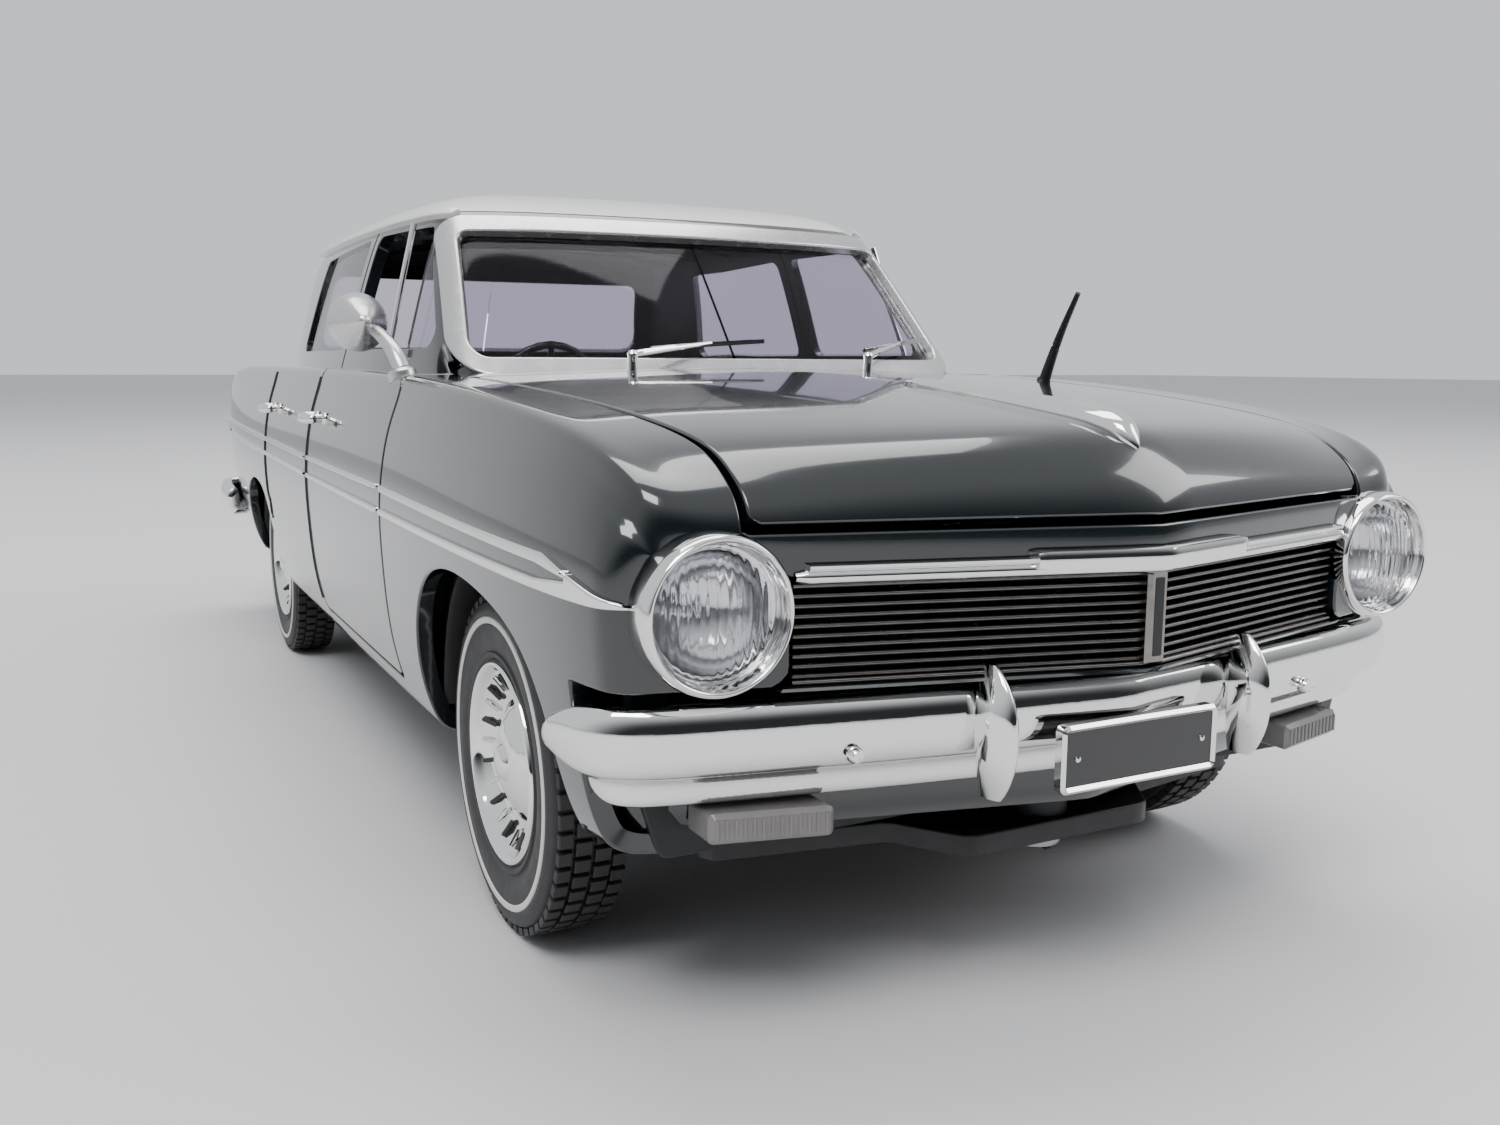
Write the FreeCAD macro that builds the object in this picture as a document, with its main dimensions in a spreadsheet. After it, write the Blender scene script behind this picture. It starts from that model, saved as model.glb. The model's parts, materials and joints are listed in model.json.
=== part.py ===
"""Diecast collector car: a 1:32 four-door saloon of the 1960s with opening front doors, bonnet and boot.

Frame: millimetres, +Z up, the car's nose towards -Y, its left side at +X, and the origin on the ground
under the middle of the car. The painted shell is one B-spline skin for the lower body and one for the
roof and pillars; every panel is cut from those two skins, so that the shut lines match.
"""

import FreeCAD, Part
import os

from FreeCAD import Placement, Rotation, Vector

# ---------------------------------------------------------------------------------------------
# Driving dimensions, kept in the spreadsheet
# ---------------------------------------------------------------------------------------------

DIMENSIONS = {
    "front_axle_y": (-44.6, "place of the front axle"),
    "rear_axle_y": (38.8, "place of the rear axle"),
    "wheel_z": (9.85, "height of the axles and radius of the tyres"),
    "tyre_width": (4.6, "width of a tyre"),
    "tyre_x": (20.0, "inner side of a tyre from the middle"),
    "rim_radius": (5.95, "outside radius of a wheel"),
    "axle_radius": (0.75, "radius of an axle rod"),
    "axle_length": (47.2, "length of an axle rod"),
    "skin": (1.1, "thickness of the painted shell"),
    "gap": (0.32, "shut line between a moving panel and the shell"),
    "lamp_x": (21.1, "headlamp from the middle of the car"),
    "lamp_z": (21.9, "height of a headlamp"),
    "plate_top": (8.9, "top of the chassis plate"),
    "plate_thickness": (1.1, "thickness of the chassis plate"),
    "screw_front_y": (-34.0, "front display screw"),
    "screw_rear_y": (26.0, "rear display screw"),
    "screw_radius": (1.25, "radius of a display screw hole"),
    "boss_radius": (2.6, "outside radius of a display screw boss"),
    "wheel_rim_radius": (3.9, "radius of the steering wheel"),
}

doc = FreeCAD.newDocument("DiecastCar")
sheet = doc.addObject("Spreadsheet::Sheet", "Dimensions")
for line, (alias, (value, note)) in enumerate(DIMENSIONS.items(), start=1):
    sheet.set(f"A{line}", note)
    sheet.set(f"B{line}", str(value))
    sheet.setAlias(f"B{line}", alias)
doc.recompute()


def size(alias):
    """The value of a driving dimension."""
    return float(sheet.get(alias))


SKIN = size("skin")
GAP = size("gap")
FRONT_Y = size("front_axle_y")
REAR_Y = size("rear_axle_y")
WHEEL_Z = size("wheel_z")
PLATE_TOP = size("plate_top")
MIDDLE = Vector(1, 0, 0)        # normal of the middle plane

# ---------------------------------------------------------------------------------------------
# Building blocks
# ---------------------------------------------------------------------------------------------

nodes = {}


def node(label, thing):
    """Keep a document object, or a bare shape as a feature, as the node of that name."""
    if hasattr(thing, "ShapeType"):
        feature = doc.addObject("Part::Feature", label)
        feature.Shape = thing
        thing = feature
    thing.Label = label
    nodes[label] = thing
    return thing


def origin_plane(body, role):
    """The origin plane of a body that has this role."""
    return next(item for item in body.Origin.OriginFeatures if item.Role == role)


def draw(body, name, role, loops, offset=0.0):
    """A sketch of closed outlines on a plane of the body; an outline is corners or (centre, radius)."""
    sketch = body.newObject("Sketcher::SketchObject", name)
    sketch.AttachmentSupport = [(origin_plane(body, role), "")]
    sketch.MapMode = "FlatFace"
    sketch.AttachmentOffset = Placement(Vector(0, 0, offset), Rotation())
    for loop in loops:
        if isinstance(loop[1], (int, float)):
            centre = Vector(loop[0][0], loop[0][1], 0)
            sketch.addGeometry(Part.Circle(centre, Vector(0, 0, 1), loop[1]), False)
        else:
            ends = loop[1:] + loop[:1]
            for (x1, y1), (x2, y2) in zip(loop, ends):
                sketch.addGeometry(Part.LineSegment(Vector(x1, y1, 0), Vector(x2, y2, 0)), False)
    return sketch


PLANE_NORMALS = {"XY_Plane": 1.0, "XZ_Plane": -1.0, "YZ_Plane": 1.0}


def padded(name, role, loops, low, high):
    """A body padded from low to high along the axis that the plane faces."""
    body = doc.addObject("PartDesign::Body", name)
    start = low if PLANE_NORMALS[role] > 0 else -high
    sketch = draw(body, name + "_sketch", role, loops, start)
    pad = body.newObject("PartDesign::Pad", name + "_pad")
    pad.Profile = sketch
    pad.Length = high - low
    doc.recompute()
    return body


def turned(name, profile, at=(0, 0, 0), direction=Vector(1, 0, 0)):
    """A body turned about the X axis from a profile of (along, radius), then placed."""
    body = doc.addObject("PartDesign::Body", name)
    sketch = draw(body, name + "_sketch", "XY_Plane", [profile])
    turn = body.newObject("PartDesign::Revolution", name + "_turn")
    turn.Profile = sketch
    turn.ReferenceAxis = (sketch, ["H_Axis"])
    turn.Angle = 360.0
    body.Placement = Placement(Vector(*at), Rotation(Vector(1, 0, 0), direction))
    doc.recompute()
    return body


def joined(name, things):
    """The union of document objects."""
    union = doc.addObject("Part::MultiFuse", name)
    union.Shapes = things
    doc.recompute()
    return union


def without(name, base, tool):
    """One document object with another cut away."""
    cut = doc.addObject("Part::Cut", name)
    cut.Base = base
    cut.Tool = tool
    doc.recompute()
    return cut


def pair(name, thing):
    """A document object and its mirror image across the middle plane, as two separate solids."""
    twin = doc.addObject("Part::Mirroring", name + "_twin")
    twin.Source = thing
    twin.Normal = MIDDLE
    both = doc.addObject("Part::Compound", name)
    both.Links = [thing, twin]
    doc.recompute()
    return both


def group(name, things):
    """Separate document objects kept together as one node."""
    together = doc.addObject("Part::Compound", name)
    together.Links = things
    doc.recompute()
    return together


def rod(name, radius, start, end, alias=None):
    """A round rod between two points; alias names the driving dimension of its radius."""
    a, b = Vector(*start), Vector(*end)
    cylinder = doc.addObject("Part::Cylinder", name)
    cylinder.Radius = radius
    if alias:
        cylinder.setExpression("Radius", f"Dimensions.{alias}")
    cylinder.Height = (b - a).Length
    cylinder.Placement = Placement(a, Rotation(Vector(0, 0, 1), b - a))
    doc.recompute()
    return cylinder


def block(name, low, high):
    """A box between two opposite corners."""
    box = doc.addObject("Part::Box", name)
    box.Length, box.Width, box.Height = (high[i] - low[i] for i in range(3))
    box.Placement = Placement(Vector(*low), Rotation())
    doc.recompute()
    return box


def prism(corners, axis, low, high):
    """A bare prism: corners on the plane across the axis (named X, Y or Z), from low to high."""
    place = {"X": lambda a, b: Vector(low, a, b),
             "Y": lambda a, b: Vector(a, low, b),
             "Z": lambda a, b: Vector(a, b, low)}[axis]
    along = {"X": Vector(1, 0, 0), "Y": Vector(0, 1, 0), "Z": Vector(0, 0, 1)}[axis]
    points = [place(a, b) for a, b in corners]
    return Part.Face(Part.makePolygon(points + points[:1])).extrude(along * (high - low))


def rounded_prism(corners, axis, low, high, radius):
    """The same prism with its long edges rounded."""
    solid = prism(corners, axis, low, high)
    along = {"X": Vector(1, 0, 0), "Y": Vector(0, 1, 0), "Z": Vector(0, 0, 1)}[axis]
    edges = [e for e in solid.Edges
             if abs(abs((e.lastVertex().Point - e.firstVertex().Point).normalize() * along) - 1) < 1e-6]
    return solid.makeFillet(radius, edges)


def grown(corners, amount):
    """An outline moved outwards by an amount, with sharp corners."""
    points = [Vector(a, b, 0) for a, b in corners]
    face = Part.Face(Part.makePolygon(points + points[:1]))
    wire = face.makeOffset2D(amount, 2).Wires[0]
    return [(v.Point.x, v.Point.y) for v in wire.OrderedVertexes]


def mirrored(shape):
    """A bare shape's mirror image across the middle plane."""
    return shape.mirror(Vector(0, 0, 0), MIDDLE)


def both_sides(shape):
    """A half shape joined to its mirror image, as one solid."""
    return shape.fuse(mirrored(shape)).removeSplitter()


def twins(shape):
    """A shape and its mirror image, as two separate solids."""
    return Part.makeCompound([shape, mirrored(shape)])


# ---------------------------------------------------------------------------------------------
# B-spline skins
# ---------------------------------------------------------------------------------------------

def knots(count):
    """Knots and multiplicities of a clamped cubic with this many poles."""
    inner = count - 4
    return [float(i) for i in range(inner + 2)], [4] + [1] * inner + [4]


def clamped_surface(net):
    """A cubic B-spline surface on a net of poles, clamped at its four sides."""
    knots_u, mults_u = knots(len(net))
    knots_v, mults_v = knots(len(net[0]))
    surface = Part.BSplineSurface()
    surface.buildFromPolesMultsKnots(net, mults_u, mults_v, knots_u, knots_v, False, False, 3, 3)
    return surface


def clamped_curve(poles):
    """A cubic B-spline edge with the same knots as a side of such a surface."""
    values, mults = knots(len(poles))
    curve = Part.BSplineCurve()
    curve.buildFromPolesMultsKnots(poles, mults, values, False, 3)
    return curve.toShape()


def closed_solid(faces):
    """A solid bounded by faces that meet edge to edge."""
    shell = Part.makeShell(faces)
    shell.sewShape()
    solid = Part.makeSolid(shell)
    if solid.Volume < 0:
        solid.reverse()
    return solid


def half_solid(net):
    """The solid between a half skin and the middle plane; rows run from end to end, columns from the
    foot to the middle. The foot is closed by a ruled face and each end by a plane face."""
    foot = [Vector(0, row[-1].y if number in (0, 1) else row[0].y, row[0].z)
            for number, row in enumerate(net)]
    foot_edge = clamped_curve(foot)
    faces = [clamped_surface(net).toShape(),
             Part.makeRuledSurface(clamped_curve([row[0] for row in net]), foot_edge)]
    for row, corner in ((net[0], foot[0]), (net[-1], foot[-1])):
        outline = [clamped_curve(row), Part.makeLine(row[-1], corner), Part.makeLine(corner, row[0])]
        faces.append(Part.Face(Part.Wire(outline)))
    middle = Part.Wire([clamped_curve([row[-1] for row in net]), Part.makeLine(net[-1][-1], foot[-1]),
                        foot_edge, Part.makeLine(foot[0], net[0][-1])])
    faces.append(Part.Face(middle))
    return closed_solid(faces)


# ---------------------------------------------------------------------------------------------
# The lower body's skin: one row per station from nose to tail. Each row climbs the side from the
# sill to the shoulder and then crosses the bonnet or boot to the middle of the car.
# ---------------------------------------------------------------------------------------------

NOSE_Y = -70.5          # the point of the nose, on the middle plane
NOSE_SLOPE = 0.24       # how fast the nose falls back towards the sides
TAIL_Y = 69.2           # the flat tail panel


def nose(x):
    """The nose plane's Y at a distance x from the middle."""
    return NOSE_Y + NOSE_SLOPE * abs(x)


# y, shoulder x and z, side x, lower side x, sill x and z, then (y, z) of the bonnet edge, of the
# point half way in and of the middle; a y of None lies on the nose plane
STATIONS = [
    (None, 22.6, 25.2, 24.1, 23.4, 22.6, 10.9, (None, 24.5), (None, 24.2), (None, 24.1)),
    (None, 23.6, 26.9, 25.4, 24.8, 24.0, 9.9, (None, 26.3), (None, 26.2), (None, 26.3)),
    (-62.8, 24.0, 28.1, 25.8, 25.2, 24.3, 9.9, (-63.8, 27.6), (-66.7, 28.1), (-68.7, 28.7)),
    (-60.2, 24.2, 28.9, 26.2, 25.6, 24.5, 9.8, (-61.6, 28.8), (-65.1, 29.3), (-67.3, 29.7)),
    (-55.5, 24.5, 29.8, 26.6, 26.0, 24.7, 9.4, (-57.2, 29.6), (-61.3, 30.0), (-64.0, 30.1)),
    (-48.0, 24.7, 30.6, 26.9, 26.3, 24.9, 9.0, (-48.5, 30.5), (-51.5, 31.0), (-53.0, 31.2)),
    (-38.0, 25.0, 31.3, 27.05, 26.6, 25.1, 8.7, (-38.0, 31.2), (-38.0, 31.7), (-38.0, 32.0)),
    (-24.0, 25.15, 31.8, 27.1, 26.7, 25.2, 8.7, (-24.0, 31.8), (-24.0, 32.2), (-24.0, 32.4)),
    (-4.0, 25.2, 32.0, 27.1, 26.7, 25.2, 8.7, (-4.0, 31.9), (-4.0, 32.2), (-4.0, 32.4)),
    (16.0, 25.2, 32.0, 27.1, 26.7, 25.2, 8.7, (16.0, 31.9), (16.0, 32.2), (16.0, 32.4)),
    (36.0, 25.2, 32.0, 27.05, 26.5, 25.1, 8.9, (36.0, 31.8), (36.0, 32.0), (36.0, 32.2)),
    (50.0, 25.3, 32.0, 26.9, 26.2, 24.9, 9.5, (50.0, 31.4), (50.0, 31.4), (50.0, 31.6)),
    (60.0, 25.4, 31.8, 26.6, 25.8, 24.6, 10.2, (60.0, 30.8), (60.0, 30.6), (60.0, 30.8)),
    (66.0, 25.4, 31.3, 26.3, 25.4, 24.3, 10.8, (66.0, 30.0), (66.0, 29.8), (66.0, 30.0)),
    (TAIL_Y, 25.2, 30.0, 25.9, 25.1, 24.0, 11.0, (TAIL_Y, 28.9), (TAIL_Y, 28.7), (TAIL_Y, 28.8)),
    (TAIL_Y, 24.2, 28.0, 24.6, 24.0, 23.0, 12.0, (TAIL_Y, 27.4), (TAIL_Y, 27.2), (TAIL_Y, 27.2)),
]
LOWER_Z = 14.0
SIDE_Z = 23.6


def lower_net(inset):
    """Poles of the lower skin's +X half, or of the same skin moved inwards by inset."""
    net = []
    last = len(STATIONS) - 1
    for number, (y, xs, zs, xm, xl, xb, zb, edge, half, middle) in enumerate(STATIONS):
        front, back = number < 2, number > last - 2
        push = inset if front else -inset if back else 0.0
        roll = {2: 0.7, 3: 0.35}.get(number, 0.0) * inset + push
        drop = 0.4 * inset if front else inset
        side = 0.5 * inset if front or back else inset
        foot = 6.0 if inset > 0 else 0.0

        def at(x, z, where, shift):
            base = nose(x) if where is None else where
            return Vector(x, base + shift, z)

        xs, xm, xl, xb = (x - side for x in (xs, xm, xl, xb))
        net.append([
            at(xb - 2.4, zb - foot, y, push),
            at(xb - 0.5, zb - 0.7 * foot, y, push),
            at(xb + 0.35, zb + 1.3 - 0.3 * foot, y, push),
            at(xl, LOWER_Z, y, push),
            at(xm - 0.05, 0.5 * (LOWER_Z + SIDE_Z) + 0.6, y, push),
            at(xm + 0.1, SIDE_Z, y, push),
            at(0.55 * xm + 0.45 * xs + 0.25, 0.5 * (SIDE_Z + zs) + 0.4 - 0.2 * drop, y, push),
            at(xs + 0.42, zs - 1.5 - 0.5 * drop, y, push),
            at(xs + 0.15, zs - 0.1 - drop, y, push),
            at(xs - 0.9, zs + 0.05 - drop, y, push),
            at(xs - 3.4, edge[1] - drop, edge[0], roll),
            at(12.0, half[1] - drop, half[0], roll),
            at(0.0, middle[1] - drop, middle[0], roll),
        ])
    return net


# ---------------------------------------------------------------------------------------------
# The greenhouse's skin: one row per level from the belt to the spine of the roof. Each row runs
# from the middle of the windscreen round the side to the middle of the rear window.
# ---------------------------------------------------------------------------------------------

# z, windscreen middle y, front corner (x, y), side x, rear corner (x, y), rear middle y
LEVELS = [
    (31.2, -28.0, 21.5, -25.0, 24.1, 22.15, 40.7, 43.3),
    (32.6, -26.9, 21.2, -23.8, 23.7, 21.9, 40.0, 42.6),
    (38.0, -22.3, 20.2, -18.9, 22.2, 21.1, 37.4, 39.6),
    (42.4, -18.4, 19.2, -14.8, 20.8, 20.1, 34.9, 36.8),
    (44.4, -16.2, 18.3, -12.6, 19.9, 19.2, 33.2, 34.9),
    (45.75, -11.8, 16.6, -9.2, 18.2, 17.4, 30.2, 31.6),
    (46.7, -4.8, 9.4, -3.6, 10.0, 9.7, 24.2, 25.0),
    (46.7, 2.0, 0.0, 3.0, 0.0, 0.0, 18.4, 19.0),
]


def roof_net(inset):
    """Poles of the greenhouse skin's +X half, or of the same skin moved inwards by inset."""
    net = []
    for number, (z, front, xf, yf, xs, xr, yr, rear) in enumerate(LEVELS):
        flat = {len(LEVELS) - 3: 0.55, len(LEVELS) - 2: 0.15, len(LEVELS) - 1: 0.0}.get(number, 1.0)
        side, end = inset * flat, 1.1 * inset * flat
        drop = inset * {0: 0.0, 1: 0.15, 2: 0.2, 3: 0.3, 4: 0.75}.get(number, 1.0)
        across = 1.0 if number < len(LEVELS) - 1 else 0.0
        z, front, yf, yr, rear = z - drop, front + end, yf + end, yr - end, rear - end
        xf, xs, xr = ((x - side) * across for x in (xf, xs, xr))
        span = yr - yf
        row = [
            (0.0, front),
            (0.52 * xf, front + 0.03 * (yf - front)),
            (0.86 * xf, front + 0.45 * (yf - front)),
            (xf, yf - 0.25 * across),
            (xf + 0.35 * (xs - xf), yf + 0.07 * span),
            (xf + 0.85 * (xs - xf), yf + 0.22 * span),
            (xs, yf + 0.40 * span),
            (xs, yf + 0.60 * span),
            (xr + 0.75 * (xs - xr), yf + 0.78 * span),
            (xr + 0.15 * (xs - xr), yf + 0.95 * span),
            (xr - 0.25 * across, yr + 0.5 * across),
            (0.84 * xr, rear - 0.35 * (rear - yr)),
            (0.50 * xr, rear - 0.02 * (rear - yr)),
            (0.0, rear),
        ]
        net.append([Vector(x, y, z) for x, y in row])
    return net


def roof_foot(inset, depth):
    """The greenhouse's outline at the belt as a solid that reaches down by this depth."""
    row = roof_net(inset)[0]
    outline = Part.Wire([clamped_curve(row), Part.makeLine(row[-1], row[0])])
    return both_sides(Part.Face(outline).extrude(Vector(0, 0, -depth)))


def roof_solid(inset):
    """The whole greenhouse as a solid, from the belt up."""
    net = roof_net(inset)
    start, end = net[0][0], net[0][-1]
    faces = [clamped_surface(net).toShape()]
    base = clamped_curve(net[0])
    floor = Part.Face(Part.Wire([base, Part.makeLine(end, start)]))
    front = clamped_curve([row[0] for row in net])
    spine = clamped_curve(net[-1])
    back = clamped_curve([row[-1] for row in net])
    middle = Part.Face(Part.Wire([front, spine, back, Part.makeLine(end, start)]))
    return both_sides(closed_solid(faces + [floor, middle]))

# ---------------------------------------------------------------------------------------------
# Outlines shared by several pieces. Side outlines are (y, z), plan outlines (x, y), front ones (x, z)
# ---------------------------------------------------------------------------------------------

DOOR_FRONT_Y, DOOR_REAR_Y, DOOR_FOOT_Z = -27.0, 1.7, 11.2
DOOR = [(DOOR_FRONT_Y, DOOR_FOOT_Z), (DOOR_FRONT_Y, 31.2), (-23.1, 32.9), (-13.5, 43.7),
        (DOOR_REAR_Y, 44.0), (DOOR_REAR_Y, DOOR_FOOT_Z)]
DOOR_WINDOW = [(-20.9, 33.5), (-12.8, 42.8), (0.5, 43.0), (0.5, 33.5)]
REAR_DOOR = [(2.1, DOOR_FOOT_Z), (2.1, 44.0), (24.9, 43.4), (28.6, 32.6), (28.6, 20.6),
             (26.6, 16.5), (25.9, DOOR_FOOT_Z)]
REAR_WINDOW = [(3.5, 33.5), (3.5, 43.0), (23.6, 42.4), (26.9, 33.5)]
WINDSCREEN = [(-20.1, 32.9), (20.1, 32.9), (18.4, 42.4), (-18.4, 42.4)]
BACKLIGHT = [(-19.3, 34.2), (19.3, 34.2), (17.8, 42.2), (-17.8, 42.2)]
BONNET_REAR_Y, BONNET_FRONT_Z = -30.6, 25.65
BONNET = [(-19.2, -76.0), (19.2, -76.0), (19.5, -62.0), (21.5, BONNET_REAR_Y), (-21.5, BONNET_REAR_Y),
          (-19.5, -62.0)]
BOOT_FRONT_Y, BOOT_FOOT_Z = 45.8, 19.6
BOOT = [(-19.6, BOOT_FRONT_Y), (19.6, BOOT_FRONT_Y), (19.6, 76.0), (-19.6, 76.0)]
FRONT_ARCH = [(-33.4, 5.0), (-33.4, 12.0), (-35.2, 18.2), (-41.0, 21.4), (-50.0, 20.9), (-57.5, 18.6),
              (-58.6, 12.0), (-58.6, 5.0)]
REAR_ARCH = [(27.3, 5.0), (27.3, 11.5), (28.6, 17.4), (34.5, 19.9), (43.5, 19.6), (49.6, 17.0),
             (50.6, 11.5), (50.6, 5.0)]
GRILLE_HALF, GRILLE_FOOT_Z, GRILLE_TOP_Z = 17.45, 18.4, 23.3
CHIN_DEPTH = 3.5                # how far the panel under the grille stands back from the nose plane
TAIL_LAMP = [(20.9, 21.2), (23.5, 21.2), (23.6, 26.8), (21.0, 26.8)]
LAMP_X, LAMP_Z = size("lamp_x"), size("lamp_z")
WING_SPEAR = [(-65.6, 22.2), (-58.7, 22.2), (-27.5, 22.5), (-27.5, 24.5), (-58.7, 24.0)]
WING_SPEAR_GAP = [(-61.2, 23.05), (-58.0, 22.75), (-26.0, 22.95), (-26.0, 24.05), (-58.0, 23.45)]
DOOR_SPEAR = [(-26.7, 22.5), (1.4, 22.7), (1.4, 24.6), (-26.7, 24.5)]
DOOR_SPEAR_GAP = [(-27.0, 22.9), (1.0, 23.1), (1.0, 24.2), (-27.0, 24.1)]
QUARTER_SPEAR = [(2.2, 22.7), (67.8, 23.4), (67.8, 25.3), (2.2, 24.6)]
QUARTER_SPEAR_GAP = [(2.6, 23.15), (67.0, 23.85), (67.0, 24.85), (2.6, 24.15)]
RIGHT, LEFT = (-30.0, -16.0), (16.0, 30.0)
SIDE_OF = {"right": RIGHT, "left": LEFT}


def arch_solid(poles, low, high):
    """A wheel arch's space from x = low to x = high."""
    points = [Vector(low, y, z) for y, z in poles]
    outline = Part.Wire([clamped_curve(points), Part.makeLine(points[-1], points[0])])
    return Part.Face(outline).extrude(Vector(high - low, 0, 0))


def spread(poles, amount):
    """An arch's poles moved outwards from its middle by an amount."""
    centre = Vector(sum(y for y, z in poles) / len(poles), WHEEL_Z, 0)
    moved = []
    for y, z in poles:
        away = Vector(y, max(z, WHEEL_Z), 0) - centre
        step = away.normalize() * amount
        moved.append((y + step.x, z + step.y))
    return moved


def chevron(half, front, back, low, high):
    """A bar that follows the pointed nose: front and back are depths behind the nose plane."""
    corners = [(-half, nose(half) + front), (0, NOSE_Y + front), (half, nose(half) + front),
               (half, nose(half) + back), (0, NOSE_Y + back), (-half, nose(half) + back)]
    return prism(corners, "Z", low, high)


# ---------------------------------------------------------------------------------------------
# The painted shell and the panels cut from it
# ---------------------------------------------------------------------------------------------

lower_outer = both_sides(half_solid(lower_net(0.0)))
lower_inner = both_sides(half_solid(lower_net(SKIN)))
lower_raised = both_sides(half_solid(lower_net(-0.3)))
roof_outer = roof_solid(0.0)
roof_inner = roof_solid(SKIN)

lower_shell = lower_outer.cut(lower_inner).cut([roof_inner, roof_foot(SKIN, 3.0)])
for arch in (FRONT_ARCH, REAR_ARCH):
    lower_shell = lower_shell.cut([arch_solid(arch, -30, -15), arch_solid(arch, 15, 30)])
lamp_holes = [Part.makeCylinder(3.1, 12, Vector(side * LAMP_X, -72, LAMP_Z), Vector(0, 1, 0))
              for side in (-1, 1)]
grille_hole = chevron(GRILLE_HALF, -3.0, 4.0, GRILLE_FOOT_Z, GRILLE_TOP_Z)
tail_lamp_hole = rounded_prism(TAIL_LAMP, "Y", 66, 72, 0.9)
chin_hole = chevron(28, -3.0, CHIN_DEPTH, 5, GRILLE_FOOT_Z)
chin = chevron(24.6, CHIN_DEPTH, CHIN_DEPTH + 1.0, 10.4, GRILLE_FOOT_Z).common(lower_outer)
lower_shell = lower_shell.cut(lamp_holes + [tail_lamp_hole, mirrored(tail_lamp_hole), grille_hole, chin_hole])
lower_shell = lower_shell.fuse(chin)

roof_shell = roof_outer.cut(roof_inner)
door_surround = [prism(grown(DOOR, 0.5), "X", *SIDE_OF[side]) for side in SIDE_OF]
windows = [rounded_prism(WINDSCREEN, "Y", -40, -6, 1.2).cut(door_surround),
           rounded_prism(BACKLIGHT, "Y", 26, 50, 1.6)]
for low, high in (RIGHT, LEFT):
    windows.append(rounded_prism(DOOR_WINDOW, "X", low, high, 0.9))
    windows.append(rounded_prism(REAR_WINDOW, "X", low, high, 0.9))
roof_shell = roof_shell.cut(windows)
painted = lower_shell.fuse(roof_shell)

bonnet_space = prism(BONNET, "Z", BONNET_FRONT_Z, 40)
bonnet_hole = prism(grown(BONNET, GAP), "Z", BONNET_FRONT_Z - 0.4, 40)
boot_space = prism(BOOT, "Z", BOOT_FOOT_Z, 40)
boot_hole = prism(grown(BOOT, GAP), "Z", BOOT_FOOT_Z - GAP, 40)
COWL = [(-21.0, -30.0), (21.0, -30.0), (21.0, -20.0), (-21.0, -20.0)]
cowl_space = prism(COWL, "Z", 27.0, 32.4)
cowl_clear = prism(grown(COWL, GAP), "Z", 27.0 - GAP, 32.4 + GAP)
door_space = {side: prism(DOOR, "X", *SIDE_OF[side]).cut(cowl_clear) for side in SIDE_OF}
door_hole = {side: prism(grown(DOOR, GAP), "X", *SIDE_OF[side]).cut(cowl_space) for side in SIDE_OF}

node("bonnet_panel", lower_shell.common(bonnet_space))
node("boot_lid_panel", lower_shell.common(boot_space))
for side in ("right", "left"):
    node(f"door_{side}_shell", painted.common(door_space[side]))

walls = [prism([(-24, -29.8), (24, -29.8), (24, -29.0), (-24, -29.0)], "Z", 9.5, 32).common(lower_inner),
         prism([(-24, -61.9), (24, -61.9), (24, -61.1), (-24, -61.1)], "Z", 9.5, 24.5).common(lower_inner),
         prism([(-24, 65.4), (24, 65.4), (24, 66.2), (-24, 66.2)], "Z", 9.5, 19.0).common(lower_inner)]
posts = [Part.makeCylinder(1.7, 8.0, Vector(0, y, PLATE_TOP)) for y in (-62.2, 64.2)]
post_holes = [Part.makeCylinder(0.75, 5.0, Vector(0, y, PLATE_TOP)) for y in (-62.2, 64.2)]
casting = painted.cut([bonnet_hole, boot_hole] + list(door_hole.values()))
casting = casting.fuse(walls + posts).cut(post_holes)
seams = lower_outer.cut(both_sides(half_solid(lower_net(0.3))))
for low, high in (RIGHT, LEFT):
    ring = prism(grown(REAR_DOOR, 0.12), "X", low, high).cut(prism(grown(REAR_DOOR, -0.12), "X", low, high))
    casting = casting.cut(ring.common(seams))
node("body_casting", casting)

# ---------------------------------------------------------------------------------------------
# Glass and its surrounds
# ---------------------------------------------------------------------------------------------

glass_layer = roof_solid(0.3).cut(roof_solid(0.85))
node("windscreen_glass", glass_layer.common(windows[0]))
node("rear_glass", Part.makeCompound([glass_layer.common(windows[number]) for number in (1, 3, 5)]))
node("door_right_glass", glass_layer.common(prism([(-20.9, 33.5), (-12.8, 42.8), (-12.6, 42.8), (-14.6, 33.5)],
                                                  "X", *RIGHT)).common(windows[2]))
node("door_left_glass", glass_layer.common(windows[4]))

frame_layer = roof_solid(-0.35).cut(roof_outer)
for label, outline, low, high, width, corner in (("windscreen_frame", WINDSCREEN, -40, -6, 1.15, 1.2),
                                                 ("rear_window_frame", BACKLIGHT, 26, 50, 0.8, 1.6)):
    outside = rounded_prism(grown(outline, width), "Y", low, high, corner + 0.6)
    inside = rounded_prism(outline, "Y", low, high, corner)
    node(label, frame_layer.common(outside.cut(inside)).cut([lower_outer] + list(door_hole.values())))

# ---------------------------------------------------------------------------------------------
# Bright mouldings on the skin
# ---------------------------------------------------------------------------------------------

trim_layer = lower_raised.cut(lower_outer)


def spear(outline, inner, low, high):
    """A side moulding: the raised layer inside an outline, less the painted gap along its middle."""
    return trim_layer.common(prism(outline, "X", low, high).cut(prism(inner, "X", low, high)))


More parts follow.
